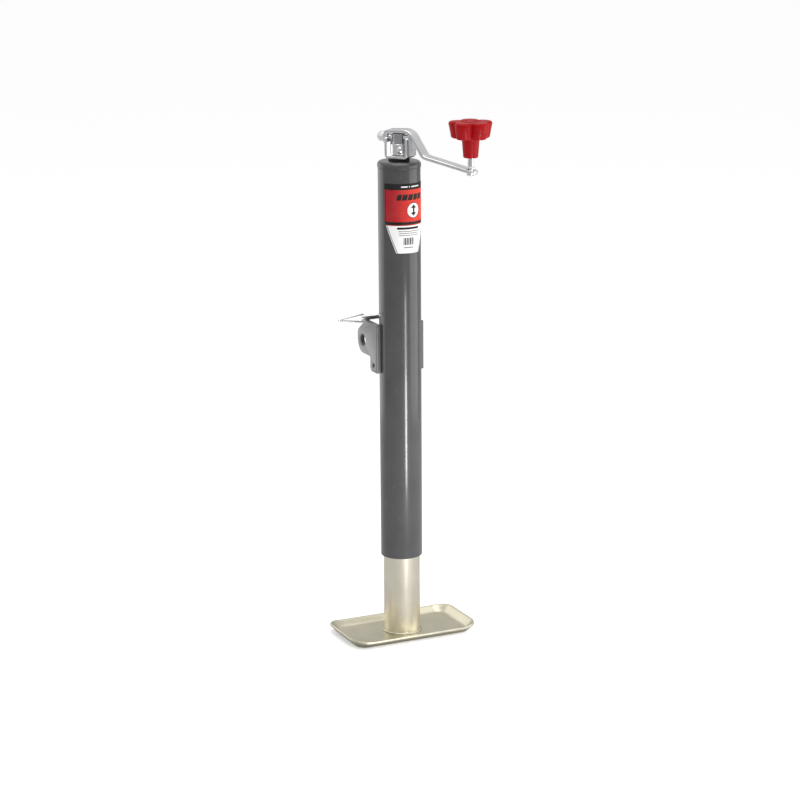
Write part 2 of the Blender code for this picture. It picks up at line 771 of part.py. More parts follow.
def build_knob(frame):
    """Heights are from the arm, at the frame's origin."""
    around = 60
    foot = knob_foot - arm_at_pin
    head_foot = knob_head_foot - arm_at_pin
    top = knob_top - arm_at_pin
    rounding = 1.8 * MM
    levels = [
        (head_foot, KNOB_TAPER - 0.05, 0.0),
        (head_foot + rounding, KNOB_TAPER, 0.0),
        (top - rounding, 1.0, 0.0),
        (top - 0.5 * rounding, 1.0, 0.25 * rounding),
        (top, 1.0, rounding),
    ]
    bm = bmesh.new()
    rows = []
    for level, share, inset in levels:
        row = []
        for i in range(around):
            turn = 2 * math.pi * i / around
            radius = lobed(turn) * share - inset
            row.append(bm.verts.new((radius * math.cos(turn), radius * math.sin(turn), level)))
        rows.append(row)
        for start, end in zip(row, row[1:] + row[:1]):
            bm.edges.new((start, end))
    bmesh.ops.bridge_loops(bm, edges=bm.edges[:])
    bm.faces.new(rows[-1])
    bm.faces.new(rows[0][::-1])
    bmesh.ops.recalc_face_normals(bm, faces=bm.faces)
    knob = add_object("knob", mesh_from(bm, "knob"), frame, RED_PLASTIC)

    stem = turned(
        "knob_stem",
        [
            (0.0, head_foot + 6.0 * MM),
            (KNOB_STEM_TOP, head_foot + 6.0 * MM),
            (KNOB_STEM_TOP, head_foot),
            (KNOB_STEM_FOOT, foot + 1.0 * MM),
            (KNOB_STEM_FOOT - 1.0 * MM, foot),
            (0.0, foot),
        ],
        frame,
        steps=SMALL_STEPS,
        ring=False,
    )
    boolean(knob, stem, "UNION")

    boss = KNOB_SOCKET + KNOB_BOSS_WALL
    groove = [
        (boss, top + rounding),
        (KNOB_DISH_RADIUS, top + rounding),
        (KNOB_DISH_RADIUS, top),
        (KNOB_DISH_RADIUS - KNOB_DISH, top - KNOB_DISH),
        (boss + 0.6 * KNOB_DISH, top - KNOB_DISH),
        (boss, top),
    ]
    boolean(knob, turned("knob_groove", groove, frame, steps=SMALL_STEPS), "DIFFERENCE")
    bottom = socket_foot - arm_at_pin
    bore = turned(
        "knob_bore",
        [
            (0.0, top + rounding),
            (KNOB_SOCKET, top + rounding),
            (KNOB_SOCKET, bottom),
            (knob_bore, bottom),
            (knob_bore, foot - rounding),
            (0.0, foot - rounding),
        ],
        frame,
        steps=SMALL_STEPS,
        ring=False,
    )
    boolean(knob, bore, "DIFFERENCE")

    low = bottom + GAP
    profile = ring_profile(
        knob_bore - 0.05 * MM, RETAINER_DIAMETER / 2, low, low + RETAINER_THICKNESS, 0.2 * MM
    )
    turned("knob_retainer", profile, frame, STEEL, 24)
    cap = KNOB_SOCKET - GAP
    turned(
        "knob_cap",
        [
            (0.0, top + 0.5 * MM),
            (cap * 0.6, top + 0.3 * MM),
            (cap - 0.4 * MM, top - 0.1 * MM),
            (cap, top - 0.5 * MM),
            (cap, top - KNOB_CAP_THICKNESS),
            (0.0, top - KNOB_CAP_THICKNESS),
        ],
        frame,
        RED_PLASTIC,
        SMALL_STEPS,
        ring=False,
    )


def build_leg(frame):
    turned("drop_leg", ring_profile(leg_bore, leg_radius, leg_foot, leg_top, 0.4 * MM), frame, ZINC)
    nut = leg_bore - GAP
    flange = leg_radius - 0.2 * MM
    turned(
        "lift_nut",
        [
            (screw_bore, leg_top + GAP + NUT_FLANGE),
            (flange - 0.6 * MM, leg_top + GAP + NUT_FLANGE),
            (flange, leg_top + GAP + NUT_FLANGE - 0.6 * MM),
            (flange, leg_top + GAP),
            (nut, leg_top + GAP),
            (nut, nut_foot),
            (screw_bore, nut_foot),
        ],
        frame,
        STEEL,
        SMALL_STEPS,
    )


def build_foot(frame):
    """A pressed plate: a flat middle and a rim that sweeps up, higher at the two ends."""
    half_length, half_width = FOOT_LENGTH / 2, FOOT_WIDTH / 2
    corners = [
        (-half_length, -half_width, FOOT_CORNER),
        (half_length, -half_width, FOOT_CORNER),
        (half_length, half_width, FOOT_CORNER),
        (-half_length, half_width, FOOT_CORNER),
    ]
    outline = filleted(corners, 7)
    bm = bmesh.new()
    top = FOOT_THICKNESS + FOOT_RIM_RISE
    face = bm.faces.new([bm.verts.new((*point, top)) for point in outline])
    bm.normal_update()
    steps = 7
    turns = [math.pi * i / steps for i in range(steps + 1)]
    levels = [top - FOOT_RIM_RISE / 2 * (1 - math.cos(turn)) for turn in turns]
    for high, low in zip(levels, levels[1:]):
        bmesh.ops.inset_region(
            bm,
            faces=[face],
            thickness=FOOT_RIM_WIDTH / steps,
            use_boundary=True,
            use_even_offset=True,
        )
        bmesh.ops.translate(bm, verts=face.verts, vec=(0.0, 0.0, low - high))
    for vert in bm.verts:
        rim_share = (vert.co.z - FOOT_THICKNESS) / FOOT_RIM_RISE
        vert.co.z += FOOT_END_LIFT * rim_share * (vert.co.x / half_length) ** 2
    obj = add_object("foot_plate", mesh_from(bm, "foot_plate"), frame, ZINC)
    wall = obj.modifiers.new("Thickness", "SOLIDIFY")
    wall.thickness = FOOT_THICKNESS
    wall.offset = -1.0
    wall.use_even_offset = True


def build_plates(frame):
    """Two cheeks, each with an ear at the back that carries the pivot hole."""
    top_fall = 8.0 * MM
    ear_end = ear_reach + EAR_RADIUS
    ear_foot = EAR_HEIGHT - EAR_RADIUS
    outline = filleted(
        [
            (0.0, 0.0, 1.0 * MM),
            (PLATE_DEPTH, 0.0, 5.0 * MM),
            (PLATE_DEPTH, ear_foot, 1.5 * MM),
            (ear_end, ear_foot, EAR_RADIUS - 0.5 * MM),
            (ear_end, PLATE_HEIGHT - 2 * top_fall, 8.0 * MM),
            (ear_reach - 6.0 * MM, PLATE_HEIGHT, 5.0 * MM),
            (0.0, PLATE_HEIGHT, 1.0 * MM),
        ],
        7,
    )
    holes = [
        circle(ear_reach, EAR_HEIGHT, PIVOT_HOLE / 2),
        circle(SMALL_HOLE_INSET, SMALL_HOLE_INSET - 1.0 * MM, SMALL_HOLE / 2, 16),
    ]
    for name, side in (("side_plate_left", -1), ("side_plate_right", 1)):
        plate = flat_outline(name, [outline, *holes], PLATE_THICKNESS, frame, PLATE_PAINT)
        plate.location = (side * (plate_inner + PLATE_THICKNESS / 2), 0.0, plate_foot)
        stand_up(plate, math.pi / 2)


def build_lock_pin(housing, pin_frame, bail_frame):
    """The sleeve on the tube, the pin through it and the wire loop in the pin's left end."""
    bore = lock_pin_radius + LOCK_PIN_CLEARANCE
    profile = ring_profile(bore, sleeve_radius, 0.0, SLEEVE_LENGTH, 0.4 * MM)
    sleeve = turned("lock_sleeve", profile, housing, PLATE_PAINT, SMALL_STEPS)
    sleeve.location = (-SLEEVE_LENGTH / 2, lock_pin_back, lock_pin_level)
    sleeve.rotation_euler = (0.0, math.pi / 2, 0.0)
    profile = rod_profile(lock_pin_radius, 0.0, 2 * lock_pin_end, 1.0 * MM)
    pin = turned("lock_pin", profile, pin_frame, CHROME, 24, ring=False)
    pin.rotation_euler = (0.0, math.pi / 2, 0.0)
    cross_bore(pin, wire_radius + GAP, (BAIL_INSET, 0, 0), (0, 0, 1), pin_frame)

    spread = lock_pin_radius + wire_radius + 0.7 * MM
    tip = 0.7 * MM
    end = 1.0 * MM
    apex = -BAIL_REACH + tip
    path = filleted(
        [
            (0.0, end, 0.0),
            (0.0, spread, 1.5 * MM),
            (apex, tip, 1.2 * MM),
            (apex, -tip, 1.2 * MM),
            (0.0, -spread, 1.5 * MM),
            (0.0, -end, 0.0),
        ],
        5,
    )
    curve = bpy.data.curves.new("pin_bail", "CURVE")
    curve.dimensions = "3D"
    curve.bevel_depth = wire_radius
    curve.bevel_resolution = 2
    curve.use_fill_caps = True
    spline = curve.splines.new("POLY")
    spline.points.add(len(path) - 1)
    for point, place in zip(spline.points, path):
        point.co = (place.x, 0.0, place.y, 1.0)
    add_object("pin_bail", curve, bail_frame, CHROME)


clear_scene()
parts = new_collection("trailer_tongue_jack")
cutters = new_collection("cutters", hidden=True)
housing_frame = new_frame("housing_frame", (0.0, 0.0, 0.0))
crank_frame = new_frame("crank_frame", (0.0, 0.0, 0.0), CRANK_TURN)
cage_frame = new_frame("cage_frame", (0.0, 0.0, 0.0))
leg_frame = new_frame("leg_frame", (0.0, 0.0, 0.0))
arm_tip_frame = new_frame("arm_tip_frame", (CRANK_RADIUS, 0.0, arm_at_pin), 0.0, crank_frame)
knob_frame = new_frame("knob_frame", (CRANK_RADIUS, 0.0, arm_at_pin), -CRANK_TURN, crank_frame)
pin_frame = new_frame("pin_frame", (-lock_pin_end, lock_pin_back, lock_pin_level))
bail_frame = new_frame("bail_frame", (BAIL_INSET, 0.0, 0.0), 0.0, pin_frame)
bpy.context.view_layer.update()

build_tube(housing_frame)
build_cap(housing_frame)
build_bush(housing_frame)
build_label(housing_frame)
build_thrust_bearing(housing_frame, crank_frame, cage_frame)
build_plates(housing_frame)
build_screw(crank_frame)
build_yoke(crank_frame)
build_arm(crank_frame)
build_stud(crank_frame)
build_knob_pin(arm_tip_frame)
build_knob(knob_frame)
build_leg(leg_frame)
build_foot(leg_frame)
build_lock_pin(housing_frame, pin_frame, bail_frame)
bpy.context.view_layer.update()
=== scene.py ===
"""A trailer tongue jack: finished pieces over the working frame, in metres, +Z up."""

import json
import math

import bmesh
import bpy
from mathutils import Matrix, Vector, noise

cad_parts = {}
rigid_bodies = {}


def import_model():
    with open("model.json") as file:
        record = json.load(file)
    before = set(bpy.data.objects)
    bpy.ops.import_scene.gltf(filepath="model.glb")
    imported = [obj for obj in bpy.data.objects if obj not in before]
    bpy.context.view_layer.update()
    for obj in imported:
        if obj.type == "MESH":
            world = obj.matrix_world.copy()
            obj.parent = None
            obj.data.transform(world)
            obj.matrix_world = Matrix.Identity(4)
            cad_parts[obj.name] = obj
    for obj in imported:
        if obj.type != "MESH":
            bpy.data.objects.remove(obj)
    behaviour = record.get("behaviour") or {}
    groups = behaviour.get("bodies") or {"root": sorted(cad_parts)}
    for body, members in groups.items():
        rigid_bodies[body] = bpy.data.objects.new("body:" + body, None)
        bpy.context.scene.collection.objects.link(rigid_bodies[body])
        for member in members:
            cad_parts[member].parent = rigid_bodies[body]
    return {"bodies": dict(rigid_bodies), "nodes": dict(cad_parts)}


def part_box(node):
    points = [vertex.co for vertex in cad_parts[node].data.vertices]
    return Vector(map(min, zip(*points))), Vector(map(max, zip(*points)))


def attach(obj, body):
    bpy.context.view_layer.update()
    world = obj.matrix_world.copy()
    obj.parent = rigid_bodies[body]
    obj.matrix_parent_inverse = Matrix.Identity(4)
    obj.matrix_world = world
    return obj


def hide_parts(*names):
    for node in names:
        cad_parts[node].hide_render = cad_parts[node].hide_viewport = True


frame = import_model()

MM = 0.001
FULL_TURN = 2 * math.pi
CAMERA_AZIMUTH = -25.0
CAMERA_DISTANCE = 3.0
CAMERA_HEIGHT = 1.06
LABEL_TURN = math.radians(67.5)  # from the label's middle line to its sides
LABEL_FOOT_TURN = math.radians(33.75)  # the same at its lower edge
LABEL_STRAIGHT = 45.0 * MM  # of the upright part of its sides
LABEL_TAPER = 38.0 * MM
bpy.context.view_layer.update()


# ---------------------------------------------------------------- camera, floor and light


def add_camera():
    """A long lens, a little above the jack and turned 25 degrees to its left."""
    turn = math.radians(CAMERA_AZIMUTH)
    away = Vector((math.sin(turn), -math.cos(turn), 0.0))
    across = Vector((math.cos(turn), math.sin(turn), 0.0))
    data = bpy.data.cameras.new("camera")
    data.lens = 115.0
    data.sensor_width = 36.0
    data.clip_start = 0.1
    data.clip_end = 100.0
    camera = bpy.data.objects.new("camera", data)
    bpy.context.scene.collection.objects.link(camera)
    camera.location = away * CAMERA_DISTANCE + Vector((0.0, 0.0, CAMERA_HEIGHT))
    fall = CAMERA_DISTANCE * math.tan(math.radians(14.3))
    target = Vector((0.0, 0.0, CAMERA_HEIGHT - fall)) - across * 0.8 * MM
    look = (target - camera.location).to_track_quat("-Z", "Y").to_matrix().to_4x4()
    roll = Matrix.Rotation(math.radians(-0.39), 4, "Z")
    camera.rotation_euler = (look @ roll).to_euler()
    bpy.context.scene.camera = camera


def add_panel(name, azimuth, distance, middle, size, power, colour=(1.0, 1.0, 1.0)):
    """A soft panel that stands round the jack and faces it. Azimuth 0 is in front of the camera."""
    turn = math.radians(CAMERA_AZIMUTH + azimuth)
    data = bpy.data.lights.new(name, "AREA")
    data.shape = "RECTANGLE"
    data.size = size[0]
    data.size_y = size[1]
    data.energy = power
    data.color = colour
    panel = bpy.data.objects.new(name, data)
    bpy.context.scene.collection.objects.link(panel)
    panel.location = (distance * math.sin(turn), -distance * math.cos(turn), middle)
    facing = Vector((0.0, 0.0, middle)) - panel.location
    panel.rotation_euler = facing.to_track_quat("-Z", "Y").to_euler()
    panel.visible_camera = False
    return panel


def add_backdrop():
    """A room that is bright overhead and dimmer towards the horizon."""
    world = bpy.data.worlds.new("studio")
    world.use_nodes = True
    bpy.context.scene.world = world
    tree = world.node_tree
    backdrop = tree.nodes["Background"]
    backdrop.inputs["Color"].default_value = (1.0, 1.0, 1.0, 1.0)
    direction = tree.nodes.new("ShaderNodeTexCoord").outputs["Generated"]
    parts = add_node(tree, "ShaderNodeSeparateXYZ", Vector=direction)
    plug(tree, backdrop.inputs["Strength"], span(tree, parts.outputs[2], 0.0, 0.8, 0.4, 0.85))


def add_floor():
    """A pale floor, which stays under the foot. Shiny surfaces see it as a dimmer one."""
    bm = bmesh.new()
    bmesh.ops.create_grid(bm, x_segments=1, y_segments=1, size=20.0)
    mesh = bpy.data.meshes.new("floor")
    bm.to_mesh(mesh)
    bm.free()
    floor = bpy.data.objects.new("floor", mesh)
    bpy.context.scene.collection.objects.link(floor)
    look = bpy.data.materials.new("floor")
    look.use_nodes = True
    tree = look.node_tree
    shader = tree.nodes["Principled BSDF"].inputs
    ray = tree.nodes.new("ShaderNodeLightPath").outputs
    pale = blend_colours(tree, ray["Is Glossy Ray"], (0.9, 0.9, 0.9), (0.52, 0.52, 0.53))
    plug(tree, shader["Base Color"], pale)
    shader["Roughness"].default_value = 0.9
    shader["Specular IOR Level"].default_value = 0.0
    shader["Emission Color"].default_value = (1.0, 1.0, 1.0, 1.0)
    plug(tree, shader["Emission Strength"], calc(tree, "MULTIPLY", ray["Is Camera Ray"], 0.3))
    mesh.materials.append(look)
    follow = floor.constraints.new("COPY_LOCATION")
    follow.target = frame["bodies"]["leg"]
    follow.use_x = False
    follow.use_y = False


def add_studio():
    add_backdrop()
    add_floor()
    add_panel("right_panel", 82.0, 0.9, 0.48, (0.9, 0.92), 4.4)
    add_panel("left_panel", -122.0, 0.9, 0.45, (0.9, 0.86), 2.1)
    add_panel("lower_strip", 29.0, 0.55, 0.1, (0.075, 0.19), 1.15)
    add_panel("upper_strip", 29.0, 0.55, 0.27, (0.075, 0.15), 0.34)
    top = add_panel("top_panel", 10.0, 0.4, 2.1, (1.6, 1.6), 16.0)
    top.rotation_euler = (0.0, 0.0, 0.0)


# ---------------------------------------------------------------- finishes


def plug(tree, socket, value):
    """Links a socket to an input, or sets the input to a number or a colour."""
    if isinstance(value, bpy.types.NodeSocket):
        tree.links.new(value, socket)
    elif isinstance(value, tuple) and len(value) == 3 and socket.type == "RGBA":
        socket.default_value = (*value, 1.0)
    else:
        socket.default_value = value


def add_node(tree, kind, settings=None, **inputs):
    node = tree.nodes.new(kind)
    for name, value in (settings or {}).items():
        setattr(node, name, value)
    for name, value in inputs.items():
        plug(tree, node.inputs[name.replace("_", " ")], value)
    return node


def calc(tree, operation, *values):
    """A Math node's result."""
    node = tree.nodes.new("ShaderNodeMath")
    node.operation = operation
    for socket, value in zip(node.inputs, values):
        plug(tree, socket, value)
    return node.outputs[0]


def span(tree, value, low, high, to_low=0.0, to_high=1.0):
    """A value's share of the way from low to high, as a number from to_low to to_high."""
    node = add_node(tree, "ShaderNodeMapRange", {"clamp": True}, Value=value)
    ends = {"From Min": low, "From Max": high, "To Min": to_low, "To Max": to_high}
    for name, number in ends.items():
        plug(tree, node.inputs[name], number)
    return node.outputs["Result"]


def blend_colours(tree, share, first, second):
    node = tree.nodes.new("ShaderNodeMix")
    node.data_type = "RGBA"
    plug(tree, node.inputs[0], share)
    plug(tree, node.inputs[6], first)
    plug(tree, node.inputs[7], second)
    return node.outputs[2]


def new_effect(name, inputs, outputs):
    """A shader node group with named number and vector inputs and number outputs."""
    tree = bpy.data.node_groups.new(name, "ShaderNodeTree")
    for label, default in inputs:
        kind = "NodeSocketVector" if default is None else "NodeSocketFloat"
        socket = tree.interface.new_socket(label, in_out="INPUT", socket_type=kind)
        if default is not None:
            socket.default_value = default
    for label in outputs:
        tree.interface.new_socket(label, in_out="OUTPUT", socket_type="NodeSocketFloat")
    entry = tree.nodes.new("NodeGroupInput")
    result = tree.nodes.new("NodeGroupOutput")
    return tree, entry.outputs, result.inputs


def make_grain():
    """Fine bumps of two sizes: the skin of baked paint, cast plastic or plating."""
    tree, given, result = new_effect(
        "fine_grain", [("Vector", None), ("Scale", 900.0), ("Coarse Share", 0.3)], ["Height"]
    )
    fine = add_node(tree, "ShaderNodeTexNoise", Vector=given["Vector"], Scale=given["Scale"])
    coarse_scale = calc(tree, "MULTIPLY", given["Scale"], 0.22)
    coarse = add_node(tree, "ShaderNodeTexNoise", Vector=given["Vector"], Scale=coarse_scale)
    lift = calc(tree, "MULTIPLY", coarse.outputs[0], given["Coarse Share"])
    tree.links.new(calc(tree, "ADD", fine.outputs[0], lift), result["Height"])
    return tree


def make_drift():
    """A slow change of tone over the surface, from 0 to 1."""
    tree, given, result = new_effect(
        "tone_drift", [("Vector", None), ("Scale", 30.0), ("Contrast", 0.2)], ["Share"]
    )
    cloud = add_node(
        tree, "ShaderNodeTexNoise", Vector=given["Vector"], Scale=given["Scale"], Detail=4.0
    )
    low = calc(tree, "SUBTRACT", 0.5, given["Contrast"])
    high = calc(tree, "ADD", 0.5, given["Contrast"])
    tree.links.new(span(tree, cloud.outputs[0], low, high), result["Share"])
    return tree


def make_draw_marks():
    """Lines left by drawing or rolling, long in Z and fine across it."""
    tree, given, result = new_effect(
        "draw_marks", [("Vector", None), ("Across", 700.0), ("Along", 12.0)], ["Height"]
    )
    parts = add_node(tree, "ShaderNodeSeparateXYZ", Vector=given["Vector"])
    x = calc(tree, "MULTIPLY", parts.outputs[0], given["Across"])
    y = calc(tree, "MULTIPLY", parts.outputs[1], given["Across"])
    z = calc(tree, "MULTIPLY", parts.outputs[2], given["Along"])
    stretched = add_node(tree, "ShaderNodeCombineXYZ", X=x, Y=y, Z=z)
    lines = add_node(
        tree, "ShaderNodeTexNoise", Vector=stretched.outputs[0], Scale=1.0, Detail=3.0
    )
    tree.links.new(lines.outputs[0], result["Height"])
    return tree


def make_scuffs():
    """A mask of small rubbed spots and hairline scratches."""
    tree, given, result = new_effect(
        "scuffs", [("Vector", None), ("Scale", 120.0), ("Amount", 0.2)], ["Mask"]
    )
    bent = add_node(tree, "ShaderNodeTexNoise", Vector=given["Vector"], Scale=given["Scale"])
    lines = add_node(
        tree,
        "ShaderNodeTexVoronoi",
        {"feature": "DISTANCE_TO_EDGE"},
        Vector=bent.outputs["Color"],
        Scale=6.0,
    )
    hairs = span(tree, lines.outputs["Distance"], 0.0, 0.03, 1.0, 0.0)
    patch = add_node(
        tree, "ShaderNodeTexNoise", Vector=given["Vector"], Scale=given["Scale"], Detail=6.0
    )
    edge = calc(tree, "SUBTRACT", 1.0, given["Amount"])
    low = calc(tree, "MULTIPLY", edge, 0.75)
    rubbed = span(tree, patch.outputs[0], low, edge)
    tree.links.new(calc(tree, "MULTIPLY", hairs, rubbed), result["Mask"])
    return tree


GRAIN = make_grain()
DRIFT = make_drift()
DRAW_MARKS = make_draw_marks()
SCUFFS = make_scuffs()


def effect(tree, group, **inputs):
    node = add_node(tree, "ShaderNodeGroup", {"node_tree": group}, **inputs)
    return node.outputs[0]


def new_finish(name, **settings):
    """A material with constant settings on its shader, its tree, shader and object coordinates."""
    material = bpy.data.materials.new(name)
    material.use_nodes = True
    tree = material.node_tree
    shader = tree.nodes["Principled BSDF"]
    for label, value in settings.items():
        plug(tree, shader.inputs[label.replace("_", " ")], value)
    place = tree.nodes.new("ShaderNodeTexCoord").outputs["Object"]
    return material, tree, shader.inputs, place


def add_bump(tree, shader, height, strength, depth):
    bump = add_node(tree, "ShaderNodeBump", Height=height, Strength=strength, Distance=depth)
    tree.links.new(bump.outputs[0], shader["Normal"])


def powder_coat(name, dark, light, rough, chips=0.0):
    """Baked powder paint: a faint orange peel, slow tone changes and a few rubbed spots."""
    material, tree, shader, place = new_finish(
        name,
        Metallic=0.0,
        Specular_IOR_Level=0.15,
        Coat_Weight=0.9,
        Coat_Roughness=0.15,
        Coat_IOR=1.5,
    )
    drift = effect(tree, DRIFT, Vector=place, Scale=22.0, Contrast=0.22)
    marks = effect(tree, SCUFFS, Vector=place, Scale=70.0, Amount=0.3)
    grain = effect(tree, GRAIN, Vector=place, Scale=950.0, Coarse_Share=0.8)
    paint = blend_colours(tree, drift, dark, light)
    rub = calc(tree, "MULTIPLY", marks, chips)
    plug(tree, shader["Base Color"], blend_colours(tree, rub, paint, (0.34, 0.34, 0.35)))
    gloss = span(tree, drift, 0.0, 1.0, rough - 0.03, rough + 0.04)
    plug(tree, shader["Roughness"], calc(tree, "ADD", gloss, calc(tree, "MULTIPLY", marks, 0.12)))
    add_bump(tree, shader, grain, 0.16, 0.12 * MM)
    return material


def zinc_plate(name, dark, light, rough, across, along):
    """Chromated zinc over drawn steel: cloudy colour, fine draw marks and a satin shine."""
    material, tree, shader, place = new_finish(name, Metallic=1.0)
    cloud = effect(tree, DRIFT, Vector=place, Scale=46.0, Contrast=0.2)
    wide = effect(tree, DRIFT, Vector=place, Scale=11.0, Contrast=0.16)
    lines = effect(tree, DRAW_MARKS, Vector=place, Across=across, Along=along)
    marks = effect(tree, SCUFFS, Vector=place, Scale=90.0, Amount=0.34)
    share = calc(tree, "ADD", calc(tree, "MULTIPLY", cloud, 0.5), calc(tree, "MULTIPLY", wide, 0.5))
    tone = blend_colours(tree, share, dark, light)
    worn = blend_colours(tree, calc(tree, "MULTIPLY", marks, 0.35), tone, (0.7, 0.7, 0.66))
    plug(tree, shader["Base Color"], worn)
    satin = span(tree, lines, 0.3, 0.7, rough - 0.05, rough + 0.07)
    plug(tree, shader["Roughness"], satin)
    add_bump(tree, shader, lines, 0.12, 0.06 * MM)
    return material


def bright_plate(name, colour, rough):
    """Bright zinc on pressed steel: a mirror that is slightly uneven and lightly scratched."""
    material, tree, shader, place = new_finish(name, Metallic=1.0)
    drift = effect(tree, DRIFT, Vector=place, Scale=90.0, Contrast=0.25)
    marks = effect(tree, SCUFFS, Vector=place, Scale=150.0, Amount=0.4)
    grain = effect(tree, GRAIN, Vector=place, Scale=420.0, Coarse_Share=1.2)
    dull = tuple(0.86 * value for value in colour)
    plug(tree, shader["Base Color"], blend_colours(tree, drift, dull, colour))
    gloss = span(tree, drift, 0.0, 1.0, rough + 0.05, rough - 0.03)
    plug(tree, shader["Roughness"], calc(tree, "ADD", gloss, calc(tree, "MULTIPLY", marks, 0.2)))
    add_bump(tree, shader, grain, 0.1, 0.1 * MM)
    return material


def machined_steel(name):
    """Bare turned steel with a thin film of oil and faint rings."""
    material, tree, shader, place = new_finish(name, Metallic=1.0)
    drift = effect(tree, DRIFT, Vector=place, Scale=60.0, Contrast=0.25)
    rings = effect(tree, DRAW_MARKS, Vector=place, Across=60.0, Along=2600.0)
    tone = blend_colours(tree, drift, (0.3, 0.3, 0.31), (0.52, 0.52, 0.54))
    plug(tree, shader["Base Color"], tone)
    plug(tree, shader["Roughness"], span(tree, rings, 0.3, 0.7, 0.26, 0.42))
    add_bump(tree, shader, rings, 0.15, 0.05 * MM)
    return material


def moulded_plastic(name, dark, light, rough, coat):
    """Moulded plastic: even colour, a slight skin texture and scuffs that dull it."""
    material, tree, shader, place = new_finish(
        name, Metallic=0.0, Specular_IOR_Level=0.12, Coat_Weight=coat, Coat_Roughness=0.12
    )
    drift = effect(tree, DRIFT, Vector=place, Scale=75.0, Contrast=0.25)
    marks = effect(tree, SCUFFS, Vector=place, Scale=110.0, Amount=0.36)
    grain = effect(tree, GRAIN, Vector=place, Scale=1300.0, Coarse_Share=0.7)
    plug(tree, shader["Base Color"], blend_colours(tree, drift, dark, light))
    gloss = span(tree, drift, 0.0, 1.0, rough - 0.03, rough + 0.04)
    plug(tree, shader["Roughness"], calc(tree, "ADD", gloss, calc(tree, "MULTIPLY", marks, 0.15)))
    add_bump(tree, shader, grain, 0.12, 0.08 * MM)
    return material


def weld_metal(name, colour, metallic, rough):
    """A weld under its finish: scaly ripples and small pits."""
    material, tree, shader, place = new_finish(name, Metallic=metallic)
    grain = effect(tree, GRAIN, Vector=place, Scale=520.0, Coarse_Share=1.4)
    drift = effect(tree, DRIFT, Vector=place, Scale=240.0, Contrast=0.3)
    dull = tuple(0.72 * value for value in colour)
    plug(tree, shader["Base Color"], blend_colours(tree, drift, dull, colour))
    plug(tree, shader["Roughness"], span(tree, drift, 0.0, 1.0, rough + 0.08, rough - 0.04))
    add_bump(tree, shader, grain, 0.4, 0.25 * MM)
    return material


